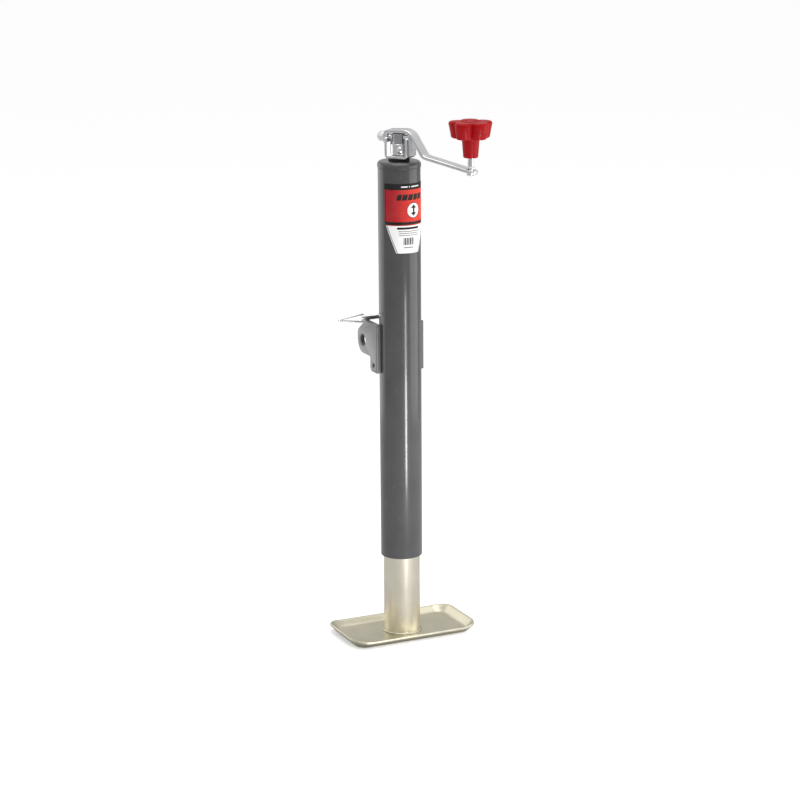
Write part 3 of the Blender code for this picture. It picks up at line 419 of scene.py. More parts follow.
def printed_label_with_painted_shade(name, top, foot, radius):
    """The wrapped label's print, from bands by height and blocks by distance round the tube, over a
    red field with painted shade on its left and painted light on its right.
    """
    material, tree, shader, place = new_finish(
        name, Roughness=0.45, Specular_IOR_Level=0.12, Coat_Weight=0.04, Coat_Roughness=0.12
    )
    spot = add_node(tree, "ShaderNodeSeparateXYZ", Vector=place)
    ahead = calc(tree, "MULTIPLY", spot.outputs[1], -1.0)
    turn = calc(tree, "ARCTAN2", spot.outputs[0], ahead)
    across = calc(tree, "MULTIPLY", turn, radius)
    down = calc(tree, "SUBTRACT", top, spot.outputs[2])

    def within(value, low, high):
        """1 between two limits, with a crisp but not jagged edge."""
        rise = span(tree, value, low - 0.06 * MM, low + 0.06 * MM)
        fall = span(tree, value, high - 0.06 * MM, high + 0.06 * MM, 1.0, 0.0)
        return calc(tree, "MULTIPLY", rise, fall)

    def block(left, right, upper, lower):
        return calc(tree, "MULTIPLY", within(across, left, right), within(down, upper, lower))

    def over(paper, mask, ink):
        return blend_colours(tree, mask, paper, ink)

    black = (0.004, 0.004, 0.005)
    white = (0.8, 0.8, 0.79)
    grey = (0.22, 0.22, 0.23)
    # Painted light: the red field runs from shaded dark crimson on the left to lit orange-red on
    # the right, where the right-hand panel falls on it.
    shaded_and_lit_red = blend_colours(
        tree, span(tree, across, -20.0 * MM, 26.0 * MM), (0.34, 0.004, 0.012), (0.86, 0.05, 0.02)
    )
    paper = over(white, within(down, -1.0 * MM, 50.0 * MM), shaded_and_lit_red)
    paper = over(paper, within(down, -1.0 * MM, 7.2 * MM), black)
    paper = over(paper, within(down, 45.5 * MM, 49.0 * MM), black)
    for left, right in ((-9.0, -1.0), (0.5, 2.0), (4.0, 16.0)):
        paper = over(paper, block(left * MM, right * MM, 2.9 * MM, 4.3 * MM), white)
    lean = calc(tree, "ADD", across, calc(tree, "MULTIPLY", down, 0.25))
    bars_across = within(lean, -10.0 * MM, 27.0 * MM)
    bars = calc(tree, "MULTIPLY", bars_across, within(down, 12.6 * MM, 19.6 * MM))
    gaps = calc(tree, "PINGPONG", calc(tree, "ADD", lean, 0.4), 3.6 * MM)
    paper = over(paper, calc(tree, "MULTIPLY", bars, within(gaps, 0.5 * MM, 9.0 * MM)), black)

    # A round badge with an arrow that points up and one that points down.
    side = calc(tree, "SUBTRACT", across, 7.0 * MM)
    level = calc(tree, "SUBTRACT", down, 32.0 * MM)
    side_squared = calc(tree, "POWER", side, 2.0)
    level_squared = calc(tree, "POWER", level, 2.0)
    reach = calc(tree, "SQRT", calc(tree, "ADD", side_squared, level_squared))
    paper = over(paper, within(reach, -1.0, 9.4 * MM), black)
    paper = over(paper, within(reach, -1.0, 8.6 * MM), white)
    height = calc(tree, "ABSOLUTE", level)
    width = calc(tree, "ABSOLUTE", side)
    shaft = calc(tree, "MULTIPLY", within(width, -1.0, 1.2 * MM), within(height, -1.0, 3.2 * MM))
    taper = calc(tree, "ADD", width, calc(tree, "MULTIPLY", height, 0.95))
    head = calc(tree, "MULTIPLY", within(taper, -1.0, 6.6 * MM), within(height, 2.6 * MM, 7.2 * MM))
    paper = over(paper, calc(tree, "MAXIMUM", shaft, head), black)

    for upper, lower, left, right in (
        (51.8, 54.4, -14.0, 15.0),
        (56.2, 57.2, -12.5, 16.5),
        (58.6, 59.6, -12.0, 13.5),
        (61.0, 62.0, -11.5, 15.0),
    ):
        ink = black if lower - upper > 2.0 else grey
        paper = over(paper, block(left * MM, right * MM, upper * MM, lower * MM), ink)
    comb = calc(tree, "PINGPONG", across, 0.55 * MM)
    wide = calc(tree, "PINGPONG", calc(tree, "ADD", across, 0.2), 1.7 * MM)
    stripes = calc(tree, "MAXIMUM", within(comb, 0.28 * MM, 1.0), within(wide, 1.25 * MM, 1.9 * MM))
    code = calc(tree, "MULTIPLY", stripes, block(-7.0 * MM, 7.0 * MM, 64.5 * MM, 73.0 * MM))
    paper = over(paper, code, black)
    paper = over(paper, block(-6.0 * MM, 6.5 * MM, 75.4 * MM, 76.8 * MM), grey)

    low_share = span(tree, down, LABEL_STRAIGHT, (top - foot))
    edge = span(tree, low_share, 0.0, 1.0, radius * LABEL_TURN, radius * LABEL_FOOT_TURN)
    inside = calc(tree, "SUBTRACT", edge, calc(tree, "ABSOLUTE", across))
    paper = over(paper, within(inside, 0.9 * MM, 1.7 * MM), black)
    drift = effect(tree, DRIFT, Vector=place, Scale=60.0, Contrast=0.3)
    faded = blend_colours(tree, span(tree, drift, 0.0, 1.0, 0.0, 0.05), paper, (0.6, 0.58, 0.55))
    plug(tree, shader["Base Color"], faded)
    grain = effect(tree, GRAIN, Vector=place, Scale=600.0, Coarse_Share=1.0)
    add_bump(tree, shader, grain, 0.05, 0.05 * MM)
    return material


TUBE_PAINT = powder_coat("tube_paint", (0.05, 0.0505, 0.052), (0.066, 0.0667, 0.068), 0.36, 0.12)
PLATE_PAINT = powder_coat("plate_paint", (0.085, 0.087, 0.09), (0.11, 0.112, 0.115), 0.38, 0.2)
LEG_ZINC = zinc_plate("leg_zinc", (0.72, 0.67, 0.55), (0.84, 0.79, 0.66), 0.34, 500.0, 10.0)
FOOT_ZINC = zinc_plate("foot_zinc", (0.58, 0.55, 0.42), (0.68, 0.64, 0.51), 0.36, 260.0, 200.0)
CHROME = bright_plate("bright_plating", (0.91, 0.915, 0.92), 0.2)
STEEL = machined_steel("machined_steel")
RED_PLASTIC = moulded_plastic("red_plastic", (0.3, 0.001, 0.003), (0.38, 0.002, 0.005), 0.38, 0.06)
BLACK_NYLON = moulded_plastic("black_nylon", (0.012, 0.012, 0.013), (0.022, 0.022, 0.023), 0.5, 0.0)
PAINTED_WELD = weld_metal("painted_weld", (0.11, 0.112, 0.115), 0.0, 0.4)
TUBE_WELD = weld_metal("tube_weld", (0.062, 0.0627, 0.064), 0.0, 0.38)
PLATED_WELD = weld_metal("plated_weld", (0.62, 0.58, 0.46), 1.0, 0.36)


# ---------------------------------------------------------------- making pieces


def piece(bm, name, body, finish, *stands_for, sharp=38.0):
    """Makes the mesh a named piece that rides on a body and stands for these nodes."""
    bmesh.ops.recalc_face_normals(bm, faces=bm.faces)
    mesh = bpy.data.meshes.new(name)
    bm.to_mesh(mesh)
    bm.free()
    mesh.materials.append(finish)
    mesh.shade_smooth()
    mesh.set_sharp_from_angle(angle=math.radians(sharp))
    obj = bpy.data.objects.new(name, mesh)
    bpy.context.scene.collection.objects.link(obj)
    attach(obj, body)
    if stands_for:
        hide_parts(*stands_for)
    return obj


def filleted(corners, steps=8):
    """A line through (x, y, radius) corners, each corner with a radius rounded by an arc."""
    count = len(corners)
    line = []
    for i, (x, y, radius) in enumerate(corners):
        here = Vector((x, y))
        if not radius:
            line.append(here)
            continue
        back = (Vector(corners[i - 1][:2]) - here).normalized()
        ahead = (Vector(corners[(i + 1) % count][:2]) - here).normalized()
        half = back.angle(ahead) / 2
        centre = here + (back + ahead).normalized() * (radius / math.sin(half))
        start = here + back * (radius / math.tan(half)) - centre
        end = here + ahead * (radius / math.tan(half)) - centre
        sweep = start.angle_signed(end)
        for n in range(steps + 1):
            line.append(centre + Matrix.Rotation(-sweep * n / steps, 2) @ start)
    return line


def turned(corners, steps=96, place=Matrix.Identity(4), fillet=6):
    """A piece turned about Z from (radius, height, rounding) corners.

    A profile clear of Z is a ring.
    """
    profile = filleted(corners, fillet)
    bm = bmesh.new()
    line = [bm.verts.new((point.x, 0.0, point.y)) for point in profile]
    pairs = list(zip(line, line[1:]))
    if max(profile[0].x, profile[-1].x) > 1e-6:
        pairs.append((line[-1], line[0]))
    edges = [bm.edges.new(pair) for pair in pairs]
    bmesh.ops.spin(
        bm,
        geom=line + edges,
        cent=(0.0, 0.0, 0.0),
        axis=(0.0, 0.0, 1.0),
        angle=FULL_TURN,
        steps=steps,
        use_merge=True,
    )
    bmesh.ops.remove_doubles(bm, verts=bm.verts, dist=1e-6)
    bmesh.ops.transform(bm, matrix=place, verts=bm.verts)
    return bm


def ring(inner, outer, low, high, rounding):
    """The corners of a plain ring's section."""
    return [
        (outer, high, rounding),
        (outer, low, rounding),
        (inner, low, rounding / 2),
        (inner, high, rounding / 2),
    ]


def rod(radius, low, high, rounding):
    return [(0.0, high, 0.0), (radius, high, rounding), (radius, low, rounding), (0.0, low, 0.0)]


def circle(x, y, radius, steps=40):
    turns = [FULL_TURN * i / steps for i in range(steps)]
    return [Vector((x + radius * math.cos(a), y + radius * math.sin(a))) for a in turns]


def flat_bar(outlines, thickness, edge):
    """A flat piece in XY from closed outlines, the first with the rest as holes, edges rounded."""
    curve = bpy.data.curves.new("outline", "CURVE")
    curve.dimensions = "2D"
    curve.fill_mode = "BOTH"
    curve.extrude = thickness / 2 - edge
    curve.bevel_depth = edge
    curve.bevel_resolution = 2
    curve.offset = -edge
    for outline in outlines:
        spline = curve.splines.new("POLY")
        spline.points.add(len(outline) - 1)
        for point, spot in zip(spline.points, outline):
            point.co = (spot[0], spot[1], 0.0, 1.0)
        spline.use_cyclic_u = True
    obj = bpy.data.objects.new("outline", curve)
    bpy.context.scene.collection.objects.link(obj)
    bpy.context.view_layer.update()
    mesh = bpy.data.meshes.new_from_object(obj.evaluated_get(bpy.context.evaluated_depsgraph_get()))
    bpy.data.objects.remove(obj)
    bm = bmesh.new()
    bm.from_mesh(mesh)
    bpy.data.meshes.remove(mesh)
    bmesh.ops.remove_doubles(bm, verts=bm.verts, dist=1e-6)
    return bm


def bend_along(bm, line):
    """Wraps a flat bar that starts at X = 0 on to a line in the plane of X and Z."""
    stations = [0.0]
    for start, end in zip(line, line[1:]):
        stations.append(stations[-1] + (end - start).length)
    for station in stations[1:-1]:
        bmesh.ops.bisect_plane(
            bm,
            geom=[*bm.verts, *bm.edges, *bm.faces],
            dist=1e-7,
            plane_co=(station, 0.0, 0.0),
            plane_no=(1.0, 0.0, 0.0),
        )
    steps = [(end - start).normalized() for start, end in zip(line, line[1:])]
    for vert in bm.verts:
        along = vert.co.x
        index = max(i for i in range(len(steps)) if stations[i] <= along + 1e-6 or i == 0)
        step = steps[index]
        spot = line[index] + step * (along - stations[index])
        normal = Vector((-step.y, step.x))
        if index and abs(along - stations[index]) < 2e-6:
            before = Vector((-steps[index - 1].y, steps[index - 1].x))
            mitre = (normal + before).normalized()
            normal = mitre / mitre.dot(normal)
        spot = spot + normal * vert.co.z
        vert.co = (spot.x, vert.co.y, spot.y)


def ripple(bm, centre_of, along_of, pitch, depth):
    """Gives a bead the overlapping scales of a hand weld, by moving its skin in or out."""
    for vert in bm.verts:
        centre = centre_of(vert.co)
        along = along_of(vert.co)
        scale = abs(math.sin(math.pi * along / pitch)) ** 0.6 - 0.6
        rough = noise.noise(vert.co * 420.0)
        vert.co = centre + (vert.co - centre) * (1.0 + depth * (scale + 0.7 * rough))


def bead_ring(name, body, finish, radius, level, size, flat=1.0):
    """A weld right round, with its middle at this radius and height."""
    profile = [
        (radius + size * math.cos(a), level + flat * size * math.sin(a), 0.0)
        for a in (FULL_TURN * i / 14 for i in range(14))
    ]
    bm = turned(profile, 260)

    def middle(spot):
        out = Vector((spot.x, spot.y, 0.0)).normalized() * radius
        return Vector((out.x, out.y, level))

    ripple(bm, middle, lambda spot: math.atan2(spot.y, spot.x) * radius, 2.6 * MM, 0.13)
    piece(bm, name, body, finish, sharp=80.0)


def bead_line(name, body, finish, foot, length, size):
    """An upright stitch weld with rounded ends."""
    bm = bmesh.new()
    bmesh.ops.create_uvsphere(bm, u_segments=16, v_segments=56, radius=1.0)
    for vert in bm.verts:
        share = max(-1.0, min(1.0, vert.co.z))
        reach = math.asin(share) / (math.pi / 2)
        width = min(1.0, (1.0 - abs(reach)) * length / 2 / size) ** 0.5
        flat = Vector((vert.co.x, vert.co.y, 0.0))
        if flat.length > 1e-6:
            flat = flat.normalized() * size * width
        vert.co = Vector((flat.x, flat.y, (reach + 1.0) * length / 2)) + foot

    def middle(spot):
        return Vector((foot.x, foot.y, spot.z))

    ripple(bm, middle, lambda spot: spot.z, 2.6 * MM, 0.16)
    piece(bm, name, body, finish, sharp=80.0)


# ---------------------------------------------------------------- sizes from the frame


def size_of(node):
    low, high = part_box(node)
    return low, high, high - low


tube_low, tube_high, tube_size = size_of("outer_tube")
cap_low, cap_high, cap_size = size_of("top_cap")
leg_low, leg_high, leg_size = size_of("drop_leg")
screw_low, screw_high, screw_size = size_of("lift_screw")
bush_low, bush_high, bush_size = size_of("cap_bushing")
tube_radius = tube_size.x / 2
tube_bore = tube_radius - 2.6 * MM
leg_radius = leg_size.x / 2
leg_bore = leg_radius - 3.2 * MM
screw_radius = screw_size.x / 2
screw_bore = screw_radius + 0.35 * MM
cap_top = cap_high.z
crank_turn = Matrix.Rotation(math.radians(-52.0), 4, "Z")


def build_tube():
    profile = ring(tube_bore, tube_radius, tube_low.z, tube_high.z, 0.7 * MM)
    piece(turned(profile, 128), "tube", "housing", TUBE_PAINT, "outer_tube")


def build_cap():
    """The cap's crown, its skirt inside the tube and the weld under its edge."""
    outer = cap_size.x / 2
    skirt = tube_bore - 0.3 * MM
    bush = bush_size.x / 2 - 1.3 * MM
    under = cap_top - 4.4 * MM
    profile = [
        (bush, cap_top, 0.5 * MM),
        (outer, cap_top, 4.4 * MM),
        (outer, cap_top - 7.0 * MM, 0.6 * MM),
        (skirt, cap_top - 7.0 * MM, 0.0),
        (skirt, cap_low.z, 0.4 * MM),
        (skirt - 2.7 * MM, cap_low.z, 0.4 * MM),
        (skirt - 2.7 * MM, under, 0.5 * MM),
        (bush, under, 0.2 * MM),
    ]
    piece(turned(profile, 128), "cap", "housing", TUBE_PAINT, "top_cap")
    bead_ring("cap_weld", "housing", TUBE_WELD, tube_radius - 0.1 * MM, tube_high.z, 0.55 * MM)


def build_bush():
    bush = bush_size.x / 2 - 1.6 * MM
    profile = [
        (screw_bore, bush_high.z, 0.4 * MM),
        (bush_size.x / 2, bush_high.z, 0.7 * MM),
        (bush_size.x / 2, cap_top + 0.3 * MM, 0.2 * MM),
        (bush, cap_top + 0.3 * MM, 0.0),
        (bush, bush_low.z, 0.3 * MM),
        (screw_bore, bush_low.z, 0.3 * MM),
    ]
    piece(turned(profile, 64), "bush", "housing", BLACK_NYLON, "cap_bushing")


def build_label():
    """The label is cut flat, with its lower corners taken off, and wrapped round the tube."""
    low, high, size = size_of("label")
    skin = tube_radius + 0.15 * MM
    half = skin * LABEL_TURN
    foot_half = skin * LABEL_FOOT_TURN
    height = size.z
    bm = bmesh.new()
    bmesh.ops.create_grid(bm, x_segments=72, y_segments=20, size=1.0)
    bmesh.ops.scale(bm, vec=(half, height / 2, 1.0), verts=bm.verts)
    bmesh.ops.translate(bm, vec=(0.0, -height / 2, 0.0), verts=bm.verts)
    for side in (-1, 1):
        bmesh.ops.bisect_plane(
            bm,
            geom=[*bm.verts, *bm.edges, *bm.faces],
            dist=1e-7,
            plane_co=(side * half, -LABEL_STRAIGHT, 0.0),
            plane_no=(side * LABEL_TAPER, -(half - foot_half), 0.0),
            clear_outer=True,
        )
    bmesh.ops.recalc_face_normals(bm, faces=bm.faces)
    bmesh.ops.solidify(bm, geom=bm.faces[:], thickness=0.22 * MM)
    lowest = min(vert.co.z for vert in bm.verts)
    for vert in bm.verts:
        turn = vert.co.x / skin
        reach = skin + vert.co.z - lowest
        vert.co = (reach * math.sin(turn), -reach * math.cos(turn), high.z + vert.co.y)
    label_ink_and_shade = printed_label_with_painted_shade("label_print", high.z, low.z, skin)
    piece(bm, "label_sheet", "housing", label_ink_and_shade, "label")


def build_bracket():
    """The two cheeks and their stitch welds, and the lock pin's sleeve."""
    low, high, size = size_of("side_plate_left")
    height = size.z
    ear_end = size.y
    ear = 16.3 * MM
    reach = ear_end - ear
    ear_foot = 34.0 * MM - ear
    outline = filleted(
        [
            (0.0, 0.0, 1.5 * MM),
            (20.0 * MM, 0.0, 5.0 * MM),
            (20.0 * MM, ear_foot, 1.5 * MM),
            (ear_end, ear_foot, ear - 0.5 * MM),
            (ear_end, height - 16.0 * MM, 8.0 * MM),
            (reach - 6.0 * MM, height, 5.0 * MM),
            (0.0, height, 1.5 * MM),
        ],
        12,
    )
    holes = [
        circle(reach, 34.0 * MM, 7.0 * MM, 56),
        circle(9.5 * MM, 8.5 * MM, 2.5 * MM),
    ]
    stand = Matrix.Rotation(math.pi / 2, 4, "Z") @ Matrix.Rotation(math.pi / 2, 4, "X")
    for side, word in ((-1, "left"), (1, "right")):
        plate_low, plate_high, plate = size_of(f"side_plate_{word}")
        bm = flat_bar([outline, *holes], plate.x, 0.7 * MM)
        middle = (plate_low.x + plate_high.x) / 2
        place = Matrix.Translation((middle, plate_low.y, plate_low.z)) @ stand
        bmesh.ops.transform(bm, matrix=place, verts=bm.verts)
        piece(bm, f"cheek_{word}", "housing", PLATE_PAINT, f"side_plate_{word}")
        spot = Vector((side * (tube_radius - 2.4 * MM), 12.4 * MM, low.z + 22.0 * MM))
        bead_line(f"{word}_back_weld", "housing", PAINTED_WELD, spot, 34.0 * MM, 2.4 * MM)

    low, high, size = size_of("lock_sleeve")
    lie = Matrix.Translation((low.x, (low.y + high.y) / 2, (low.z + high.z) / 2))
    lie = lie @ Matrix.Rotation(math.pi / 2, 4, "Y")
    profile = ring(3.475 * MM, size.z / 2, 0.0, size.x, 0.5 * MM)
    piece(turned(profile, 48, lie), "pin_sleeve", "housing", PLATE_PAINT, "lock_sleeve")


def build_lock_pin():
    """The pin with its rounded nose."""
    low, high, size = size_of("lock_pin")
    lie = Matrix.Translation((low.x, (low.y + high.y) / 2, (low.z + high.z) / 2))
    lie = lie @ Matrix.Rotation(math.pi / 2, 4, "Y")
    radius = size.z / 2
    profile = [
        (0.0, size.x, 0.0),
        (radius, size.x, 2.0 * MM),
        (radius, 0.0, 1.0 * MM),
        (0.0, 0.0, 0.0),
    ]
    piece(turned(profile, 48, lie), "pull_pin", "pull_pin", CHROME, "lock_pin")


def build_leg():
    profile = ring(leg_bore, leg_radius, leg_low.z, leg_high.z, 0.5 * MM)
    piece(turned(profile, 128), "leg_tube", "leg", LEG_ZINC, "drop_leg")
    bead_ring("foot_weld", "leg", PLATED_WELD, leg_radius + 0.2 * MM, 3.8 * MM, 1.9 * MM, 0.8)


def build_foot():
    """A pressed foot: the rim is drawn up in rings from the flat middle and rolled over."""
    thick = 3.0 * MM
    rise = 3.2 * MM
    end_lift = 6.2 * MM
    top = thick + rise
    rim_width = 12.0 * MM
    corner = 20.0 * MM
    half_length, half_width = 83.0 * MM, 47.5 * MM
    outline = filleted(
        [
            (-half_length, -half_width, corner),
            (half_length, -half_width, corner),
            (half_length, half_width, corner),
            (-half_length, half_width, corner),
        ],
        16,
    )
    bm = bmesh.new()
    face = bm.faces.new([bm.verts.new((point.x, point.y, top)) for point in outline])
    bm.normal_update()
    steps = 12
    turns = [math.pi * i / steps for i in range(steps + 1)]
    levels = [top - rise / 2 * (1 - math.cos(turn)) for turn in turns]
    for high, low in zip(levels, levels[1:]):
        bmesh.ops.inset_region(
            bm,
            faces=[face],
            thickness=rim_width / steps,
            use_boundary=True,
            use_even_offset=True,
        )
        bmesh.ops.translate(bm, verts=face.verts, vec=(0.0, 0.0, low - high))
    for vert in bm.verts:
        rim_share = (vert.co.z - thick) / rise
        vert.co.z += end_lift * rim_share * (vert.co.x / half_length) ** 2
    obj = piece(bm, "foot", "leg", FOOT_ZINC, "foot_plate", sharp=60.0)
    wall = obj.modifiers.new("Thickness", "SOLIDIFY")
    wall.thickness = thick
    wall.offset = 1.0
    wall.use_even_offset = True
    lip = obj.modifiers.new("Lip", "BEVEL")
    lip.width = 0.9 * MM
    lip.segments = 3
    lip.limit_method = "ANGLE"
    lip.angle_limit = math.radians(50.0)


def build_screw():
    """The lift screw: a plain head and tail and a trapezoidal thread between them."""
    pitch = 5.08 * MM
    root = screw_radius - 2.4 * MM
    crest = screw_radius - 0.02 * MM
    thread_foot = screw_low.z + 17.0 * MM
    thread_top = 545.0 * MM
    turns = int((thread_top - thread_foot) / pitch)
    around = 28
    bm = bmesh.new()
    section = ((root, 0.0), (root, 0.34), (crest, 0.5), (crest, 0.84), (root, 1.0))
    line = [bm.verts.new((radius, 0.0, thread_foot + share * pitch)) for radius, share in section]
    edges = [bm.edges.new(pair) for pair in zip(line, line[1:])]
    bmesh.ops.spin(
        bm,
        geom=line + edges,
        cent=(0.0, 0.0, 0.0),
        axis=(0.0, 0.0, 1.0),
        dvec=(0.0, 0.0, pitch / around),
        angle=FULL_TURN * turns,
        steps=around * turns,
    )
    bmesh.ops.remove_doubles(bm, verts=bm.verts, dist=4e-6)
    rims = [edge for edge in bm.edges if edge.is_boundary]
    filled = bmesh.ops.holes_fill(bm, edges=rims, sides=0)
    bmesh.ops.triangulate(bm, faces=filled["faces"])
    ends = (
        rod(screw_radius, thread_foot + (turns - 0.5) * pitch, screw_high.z, 1.0 * MM),
        rod(root, screw_low.z, thread_foot + 1.5 * pitch, 1.0 * MM),
    )
    for corners in ends:
        shank = turned(corners, 48)
        mesh = bpy.data.meshes.new("shank")
        shank.to_mesh(mesh)
        shank.free()
        bm.from_mesh(mesh)
        bpy.data.meshes.remove(mesh)
    piece(bm, "threaded_screw", "crank", STEEL, "lift_screw")


stud_level = cap_top + 27.8 * MM
stud_radius = 3.25 * MM
stud_bore = stud_radius + 0.3 * MM
strap = 3.2 * MM
collar_radius = screw_bore + 1.5 * MM
yoke_left = collar_radius + 0.4 * MM + strap
yoke_right = collar_radius + 4.0 * MM + strap


def build_yoke():
    """A strap bent to a U round the screw's head. The stud lies in a slot in each leg's top."""
    foot = bush_high.z + 0.6 * MM
    top = foot + 25.4 * MM
    base = foot + strap / 2
    bend = 3.0 * MM
    left = -yoke_left + strap / 2
    right = yoke_right - strap / 2
    path = filleted(
        [(left, top, 0.0), (left, base, bend), (right, base, bend), (right, top, 0.0)], 10
    )
    length = sum((b - a).length for a, b in zip(path, path[1:]))
    half = 12.0 * MM
    depth = top - stud_level
    slot = [
        (depth + stud_bore * math.sin(a), stud_bore * math.cos(a))
        for a in (math.pi * i / 16 for i in range(17))
    ]
    corners = [
        (0.0, -half, 3.0 * MM),
        (length, -half, 3.0 * MM),
        (length, -stud_bore, 0.4 * MM),
        *[(length - x, -y, 0.0) for x, y in slot],
        (length, stud_bore, 0.4 * MM),
        (length, half, 3.0 * MM),
        (0.0, half, 3.0 * MM),
        (0.0, stud_bore, 0.4 * MM),
        *[(x, y, 0.0) for x, y in slot],
        (0.0, -stud_bore, 0.4 * MM),
    ]
    middle = top - base + (math.pi / 2 - 2) * bend - left
    bm = flat_bar([filleted(corners, 6), circle(middle, 0.0, screw_bore)], strap, 0.5 * MM)
    bend_along(bm, path)
    bmesh.ops.transform(bm, matrix=crank_turn, verts=bm.verts)
    piece(bm, "yoke", "crank", CHROME, "crank_yoke")


arm_thick = 4.0 * MM
arm_half = 8.0 * MM
tab_reach = 6.75 * MM
tab_middle = -yoke_left - 0.3 * MM - arm_thick / 2
arm_level = cap_top + 34.5 * MM
shoulder = arm_level + 1.8 * MM
elbow = 35.0 * MM
elbow_drop = 29.9 * MM
end_drop = 44.7 * MM
crank_radius = 93.8 * MM
arm_end = crank_radius + arm_half
arm_slope = (end_drop - elbow_drop) / (arm_end - elbow)
arm_at_pin = shoulder - elbow_drop - arm_slope * (crank_radius - elbow)


def build_arm():
    """A flat bar with a round end, bent down over the yoke, up, and down to the hand knob."""
    path = filleted(
        [
            (tab_middle, stud_level - tab_reach, 0.0),
            (tab_middle, arm_level, 5.0 * MM),
            (16.0 * MM, shoulder, 14.0 * MM),
            (elbow, shoulder - elbow_drop, 9.0 * MM),
            (arm_end, shoulder - end_drop, 0.0),
        ],
        12,
    )
    length = sum((b - a).length for a, b in zip(path, path[1:]))
    outline = filleted(
        [
            (0.0, -arm_half, 3.0 * MM),
            (length, -arm_half, arm_half - 0.05 * MM),
            (length, arm_half, arm_half - 0.05 * MM),
            (0.0, arm_half, 3.0 * MM),
        ],
        16,
    )
    stud_hole = circle(tab_reach, 0.0, stud_bore)
    pin_hole = circle(length - arm_half * math.hypot(1.0, arm_slope), 0.0, 3.3 * MM)
    bm = flat_bar([outline, stud_hole, pin_hole], arm_thick, 0.8 * MM)
    bend_along(bm, path)
    bmesh.ops.transform(bm, matrix=crank_turn, verts=bm.verts)
    piece(bm, "arm", "crank", CHROME, "crank_arm")


def along_arm(start):
    """The place of a piece made along Z that lies on the cross stud, from here outwards."""
    lie_down = Matrix.Rotation(math.pi / 2, 4, "Y")
    return crank_turn @ Matrix.Translation((start, 0.0, stud_level)) @ lie_down


def build_stud():
    """The cross stud, its washer and a six-sided lock nut with a round crown."""
    washer_face = tab_middle - arm_thick / 2 - 0.3 * MM
    nut_face = washer_face - 1.4 * MM - 0.3 * MM
    flats = 11.0 * MM
    hexagon = 5.0 * MM
    collar = 2.2 * MM
    tail = nut_face - hexagon - collar - 1.0 * MM
    tip = yoke_right - strap / 2 - 0.3 * MM
    profile = rod(stud_radius, 0.0, tip - tail, 0.7 * MM)
    piece(turned(profile, 40, along_arm(tail)), "stud", "crank", CHROME, "crank_stud")
    profile = ring(stud_bore, 6.5 * MM, 0.0, 1.4 * MM, 0.3 * MM)
    place = along_arm(washer_face - 1.4 * MM)
    piece(turned(profile, 48, place), "washer", "crank", CHROME, "crank_washer")

    corner = flats / 2 / math.cos(math.pi / 6)
    bm = bmesh.new()
    bmesh.ops.create_cone(
        bm, cap_ends=True, segments=6, radius1=corner, radius2=corner, depth=hexagon
    )
    bmesh.ops.translate(bm, vec=(0.0, 0.0, collar + hexagon / 2), verts=bm.verts)
    bmesh.ops.bevel(
        bm, geom=bm.edges[:], offset=0.5 * MM, segments=3, profile=0.5, affect="EDGES", material=-1
    )
    crown = turned(ring(stud_bore, flats / 2 - 0.7 * MM, 0.0, collar + hexagon / 2, 1.2 * MM), 48)
    mesh = bpy.data.meshes.new("crown")
    crown.to_mesh(mesh)
    crown.free()
    bm.from_mesh(mesh)
    bpy.data.meshes.remove(mesh)
    bmesh.ops.transform(bm, matrix=along_arm(nut_face - hexagon - collar), verts=bm.verts)
    piece(bm, "lock_nut", "crank", CHROME, "crank_nut")


def build_head():
    """The collar that the screw hangs from and its riveted cross pin."""
    low, high, size = size_of("head_collar")
    profile = ring(screw_bore, size.x / 2, low.z, high.z, 0.8 * MM)
    piece(turned(profile, 64), "hanging_collar", "crank", CHROME, "head_collar")
    reach = size.x / 2 + 0.3 * MM
    rivet = 4.25 * MM
    dome = 2.0 * MM
    quarter = [math.pi / 2 * i / 8 for i in range(9)]
    profile = [(rivet * math.sin(a), reach + dome * math.cos(a), 0.0) for a in quarter]
    profile += [(2.5 * MM, reach, 0.0), (2.5 * MM, -reach, 0.0)]
    profile += [(rivet * math.cos(a), -reach - dome * math.sin(a), 0.0) for a in quarter]
    turn = math.radians(36.0) - math.pi / 2
    place = Matrix.Translation((0.0, 0.0, (low.z + high.z) / 2)) @ crank_turn
    place = place @ Matrix.Rotation(turn, 4, "Z") @ Matrix.Rotation(math.pi / 2, 4, "Y")
    piece(turned(profile, 40, place), "rivet_pin", "crank", CHROME, "head_pin")


knob_axis = crank_turn @ Vector((crank_radius, 0.0, 0.0))


def build_knob_pin():
    low, high, size = size_of("knob_pin")
    half = size.x / 2
    collar_foot = arm_at_pin + 2.0 * MM + arm_slope * half + 0.35 * MM
    under = arm_at_pin - 2.0 * MM - arm_slope * half - 0.35 * MM
    neck = 3.0 * MM
    shank = 3.6 * MM
    shoulder_top = arm_at_pin + 15.6 * MM
    profile = [
        (0.0, high.z, 0.0),
        (neck, high.z, 0.6 * MM),
        (neck, shoulder_top, 0.0),
        (shank, shoulder_top, 0.4 * MM),
        (shank, collar_foot + 1.8 * MM, 0.5 * MM),
        (half, collar_foot + 1.3 * MM, 0.4 * MM),
        (half, collar_foot, 0.2 * MM),
        (neck, collar_foot, 0.0),
        (neck, under, 0.0),
        (half, under, 0.2 * MM),
        (half * 0.8, low.z + 0.4 * MM, 0.8 * MM),
        (0.0, low.z, 0.0),
    ]
    place = Matrix.Translation((knob_axis.x, knob_axis.y, 0.0))
    piece(turned(profile, 48, place), "crank_pin", "crank", CHROME, "knob_pin")


def lobed(turn):
    """The knob's outline: round lobes on a circle, each running into the next."""
    pitch = FULL_TURN / 5
    off = (turn - math.radians(-148.0) + pitch / 2) % pitch - pitch / 2
    across = 15.5 * MM * math.sin(off)
    return 15.5 * MM * math.cos(off) + math.sqrt((11.0 * MM) ** 2 - across**2)


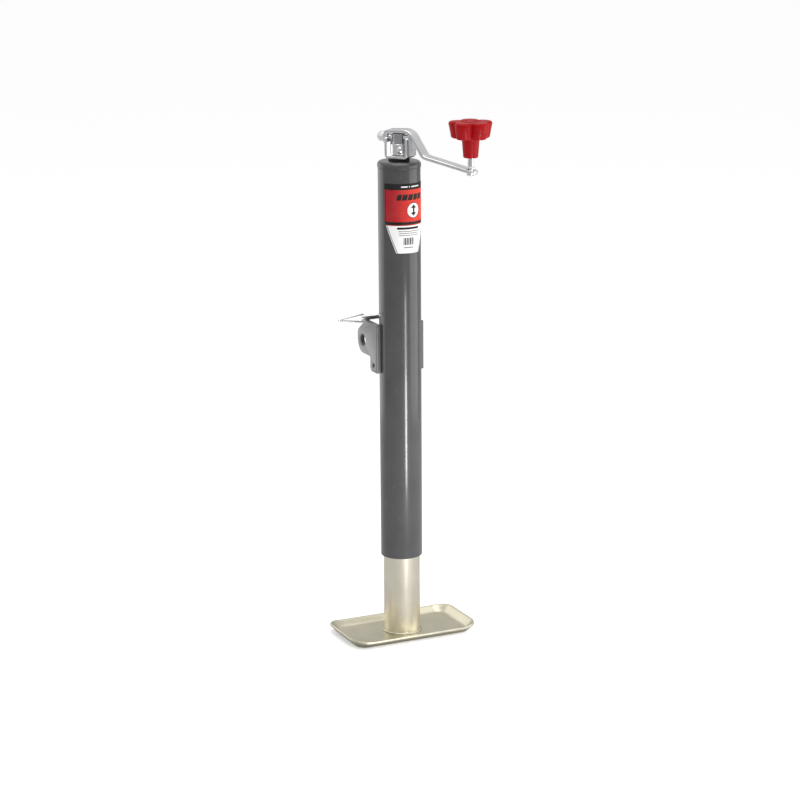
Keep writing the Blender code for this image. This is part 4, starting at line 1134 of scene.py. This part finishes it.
def build_knob():
    """The knob is drawn ring by ring from its bore, over the stem and lobes and into its top."""
    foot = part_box("knob")[0].z
    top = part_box("knob")[1].z
    head = foot + 22.5 * MM
    socket = top - 9.1 * MM
    bore = 3.35 * MM
    # (height, radius of a plain ring) or (height, share of the lobed outline, inset)
    rings = [
        (foot, bore),
        (foot, 7.7 * MM),
        (foot + 0.3 * MM, 8.4 * MM),
        (foot + 1.1 * MM, 8.8 * MM),
        (head - 2.2 * MM, 10.3 * MM),
        (head - 0.9 * MM, 10.6 * MM),
        (head - 0.25 * MM, 11.2 * MM),
        (head, 12.2 * MM),
        (head, 0.84, 1.9 * MM),
        (head + 0.25 * MM, 0.85, 1.1 * MM),
        (head + 0.9 * MM, 0.87, 0.35 * MM),
        (head + 1.9 * MM, 0.885, 0.0),
        (top - 6.0 * MM, 0.97, 0.0),
        (top - 3.2 * MM, 1.0, 0.0),
        (top - 1.8 * MM, 1.0, 0.3 * MM),
        (top - 0.7 * MM, 1.0, 1.0 * MM),
        (top - 0.15 * MM, 1.0, 2.0 * MM),
        (top, 1.0, 3.1 * MM),
        (top, 13.6 * MM),
        (top - 0.2 * MM, 12.8 * MM),
        (top - 0.7 * MM, 12.0 * MM),
        (top - 1.3 * MM, 11.2 * MM),
        (top - 1.6 * MM, 10.0 * MM),
        (top - 1.5 * MM, 9.0 * MM),
        (top - 0.8 * MM, 8.3 * MM),
        (top - 0.25 * MM, 7.9 * MM),
        (top - 0.1 * MM, 7.4 * MM),
        (top - 0.2 * MM, 6.7 * MM),
        (socket, 6.5 * MM),
        (socket, bore),
    ]
    around = 120
    bm = bmesh.new()
    loops = []
    for level, radius, *inset in rings:
        made = bmesh.ops.create_circle(bm, segments=around, radius=1.0)
        for vert in made["verts"]:
            turn = math.atan2(vert.co.y, vert.co.x)
            reach = lobed(turn) * radius - inset[0] if inset else radius
            vert.co = (reach * math.cos(turn), reach * math.sin(turn), level)
        loops.append(list({edge for vert in made["verts"] for edge in vert.link_edges}))
    for lower, upper in zip(loops, loops[1:] + loops[:1]):
        bmesh.ops.bridge_loops(bm, edges=lower + upper)
    bmesh.ops.translate(bm, vec=(knob_axis.x, knob_axis.y, 0.0), verts=bm.verts)
    piece(bm, "hand_knob", "hand_knob", RED_PLASTIC, "knob", sharp=50.0)

    low, high, size = size_of("knob_cap")
    place = Matrix.Translation((knob_axis.x, knob_axis.y, 0.0))
    radius = size.x / 2
    profile = [
        (0.0, high.z, 0.0),
        (radius * 0.7, high.z - 0.15 * MM, 2.0 * MM),
        (radius, high.z - 0.9 * MM, 0.4 * MM),
        (radius, low.z, 0.3 * MM),
        (0.0, low.z, 0.0),
    ]
    piece(turned(profile, 48, place), "knob_plug", "hand_knob", RED_PLASTIC, "knob_cap")


def build_bail():
    """The spring wire loop, straight legs that meet in a tight bend."""
    low, high, size = size_of("pin_bail")
    radius = size.y / 2
    hinge = high.x - radius
    middle = (low.z + high.z) / 2
    spread = size.z / 2 - radius
    apex = low.x + radius + 0.7 * MM - hinge
    path = filleted(
        [
            (0.0, 1.0 * MM, 0.0),
            (0.0, spread, 1.5 * MM),
            (apex, 0.7 * MM, 1.2 * MM),
            (apex, -0.7 * MM, 1.2 * MM),
            (0.0, -spread, 1.5 * MM),
            (0.0, -1.0 * MM, 0.0),
        ],
        8,
    )
    curve = bpy.data.curves.new("wire", "CURVE")
    curve.dimensions = "3D"
    curve.bevel_depth = radius
    curve.bevel_resolution = 4
    curve.use_fill_caps = True
    spline = curve.splines.new("POLY")
    spline.points.add(len(path) - 1)
    for point, spot in zip(spline.points, path):
        point.co = (hinge + spot.x, (low.y + high.y) / 2, middle + spot.y, 1.0)
    obj = bpy.data.objects.new("wire", curve)
    bpy.context.scene.collection.objects.link(obj)
    bpy.context.view_layer.update()
    mesh = bpy.data.meshes.new_from_object(obj.evaluated_get(bpy.context.evaluated_depsgraph_get()))
    bpy.data.objects.remove(obj)
    bm = bmesh.new()
    bm.from_mesh(mesh)
    bpy.data.meshes.remove(mesh)
    bmesh.ops.remove_doubles(bm, verts=bm.verts, dist=1e-6)
    piece(bm, "wire_bail", "bail", CHROME, "pin_bail")


def finish_hidden_parts():
    """The frame's own nodes inside the tube keep their shapes and take a finish."""
    inside = [
        "thrust_race_upper",
        "ball_cage",
        "thrust_race_lower",
        "thrust_collar",
        "collar_pin",
        "stop_washer",
        "stop_pin",
        "lift_nut",
        "knob_retainer",
    ]
    for name in inside:
        obj = frame["nodes"][name]
        obj.data.materials.clear()
        obj.data.materials.append(STEEL)


bpy.context.scene.view_settings.view_transform = "Standard"
add_camera()
add_studio()
build_tube()
build_cap()
build_bush()
build_label()
build_bracket()
build_lock_pin()
build_bail()
build_leg()
build_foot()
build_screw()
build_yoke()
build_arm()
build_stud()
build_head()
build_knob_pin()
build_knob()
finish_hidden_parts()
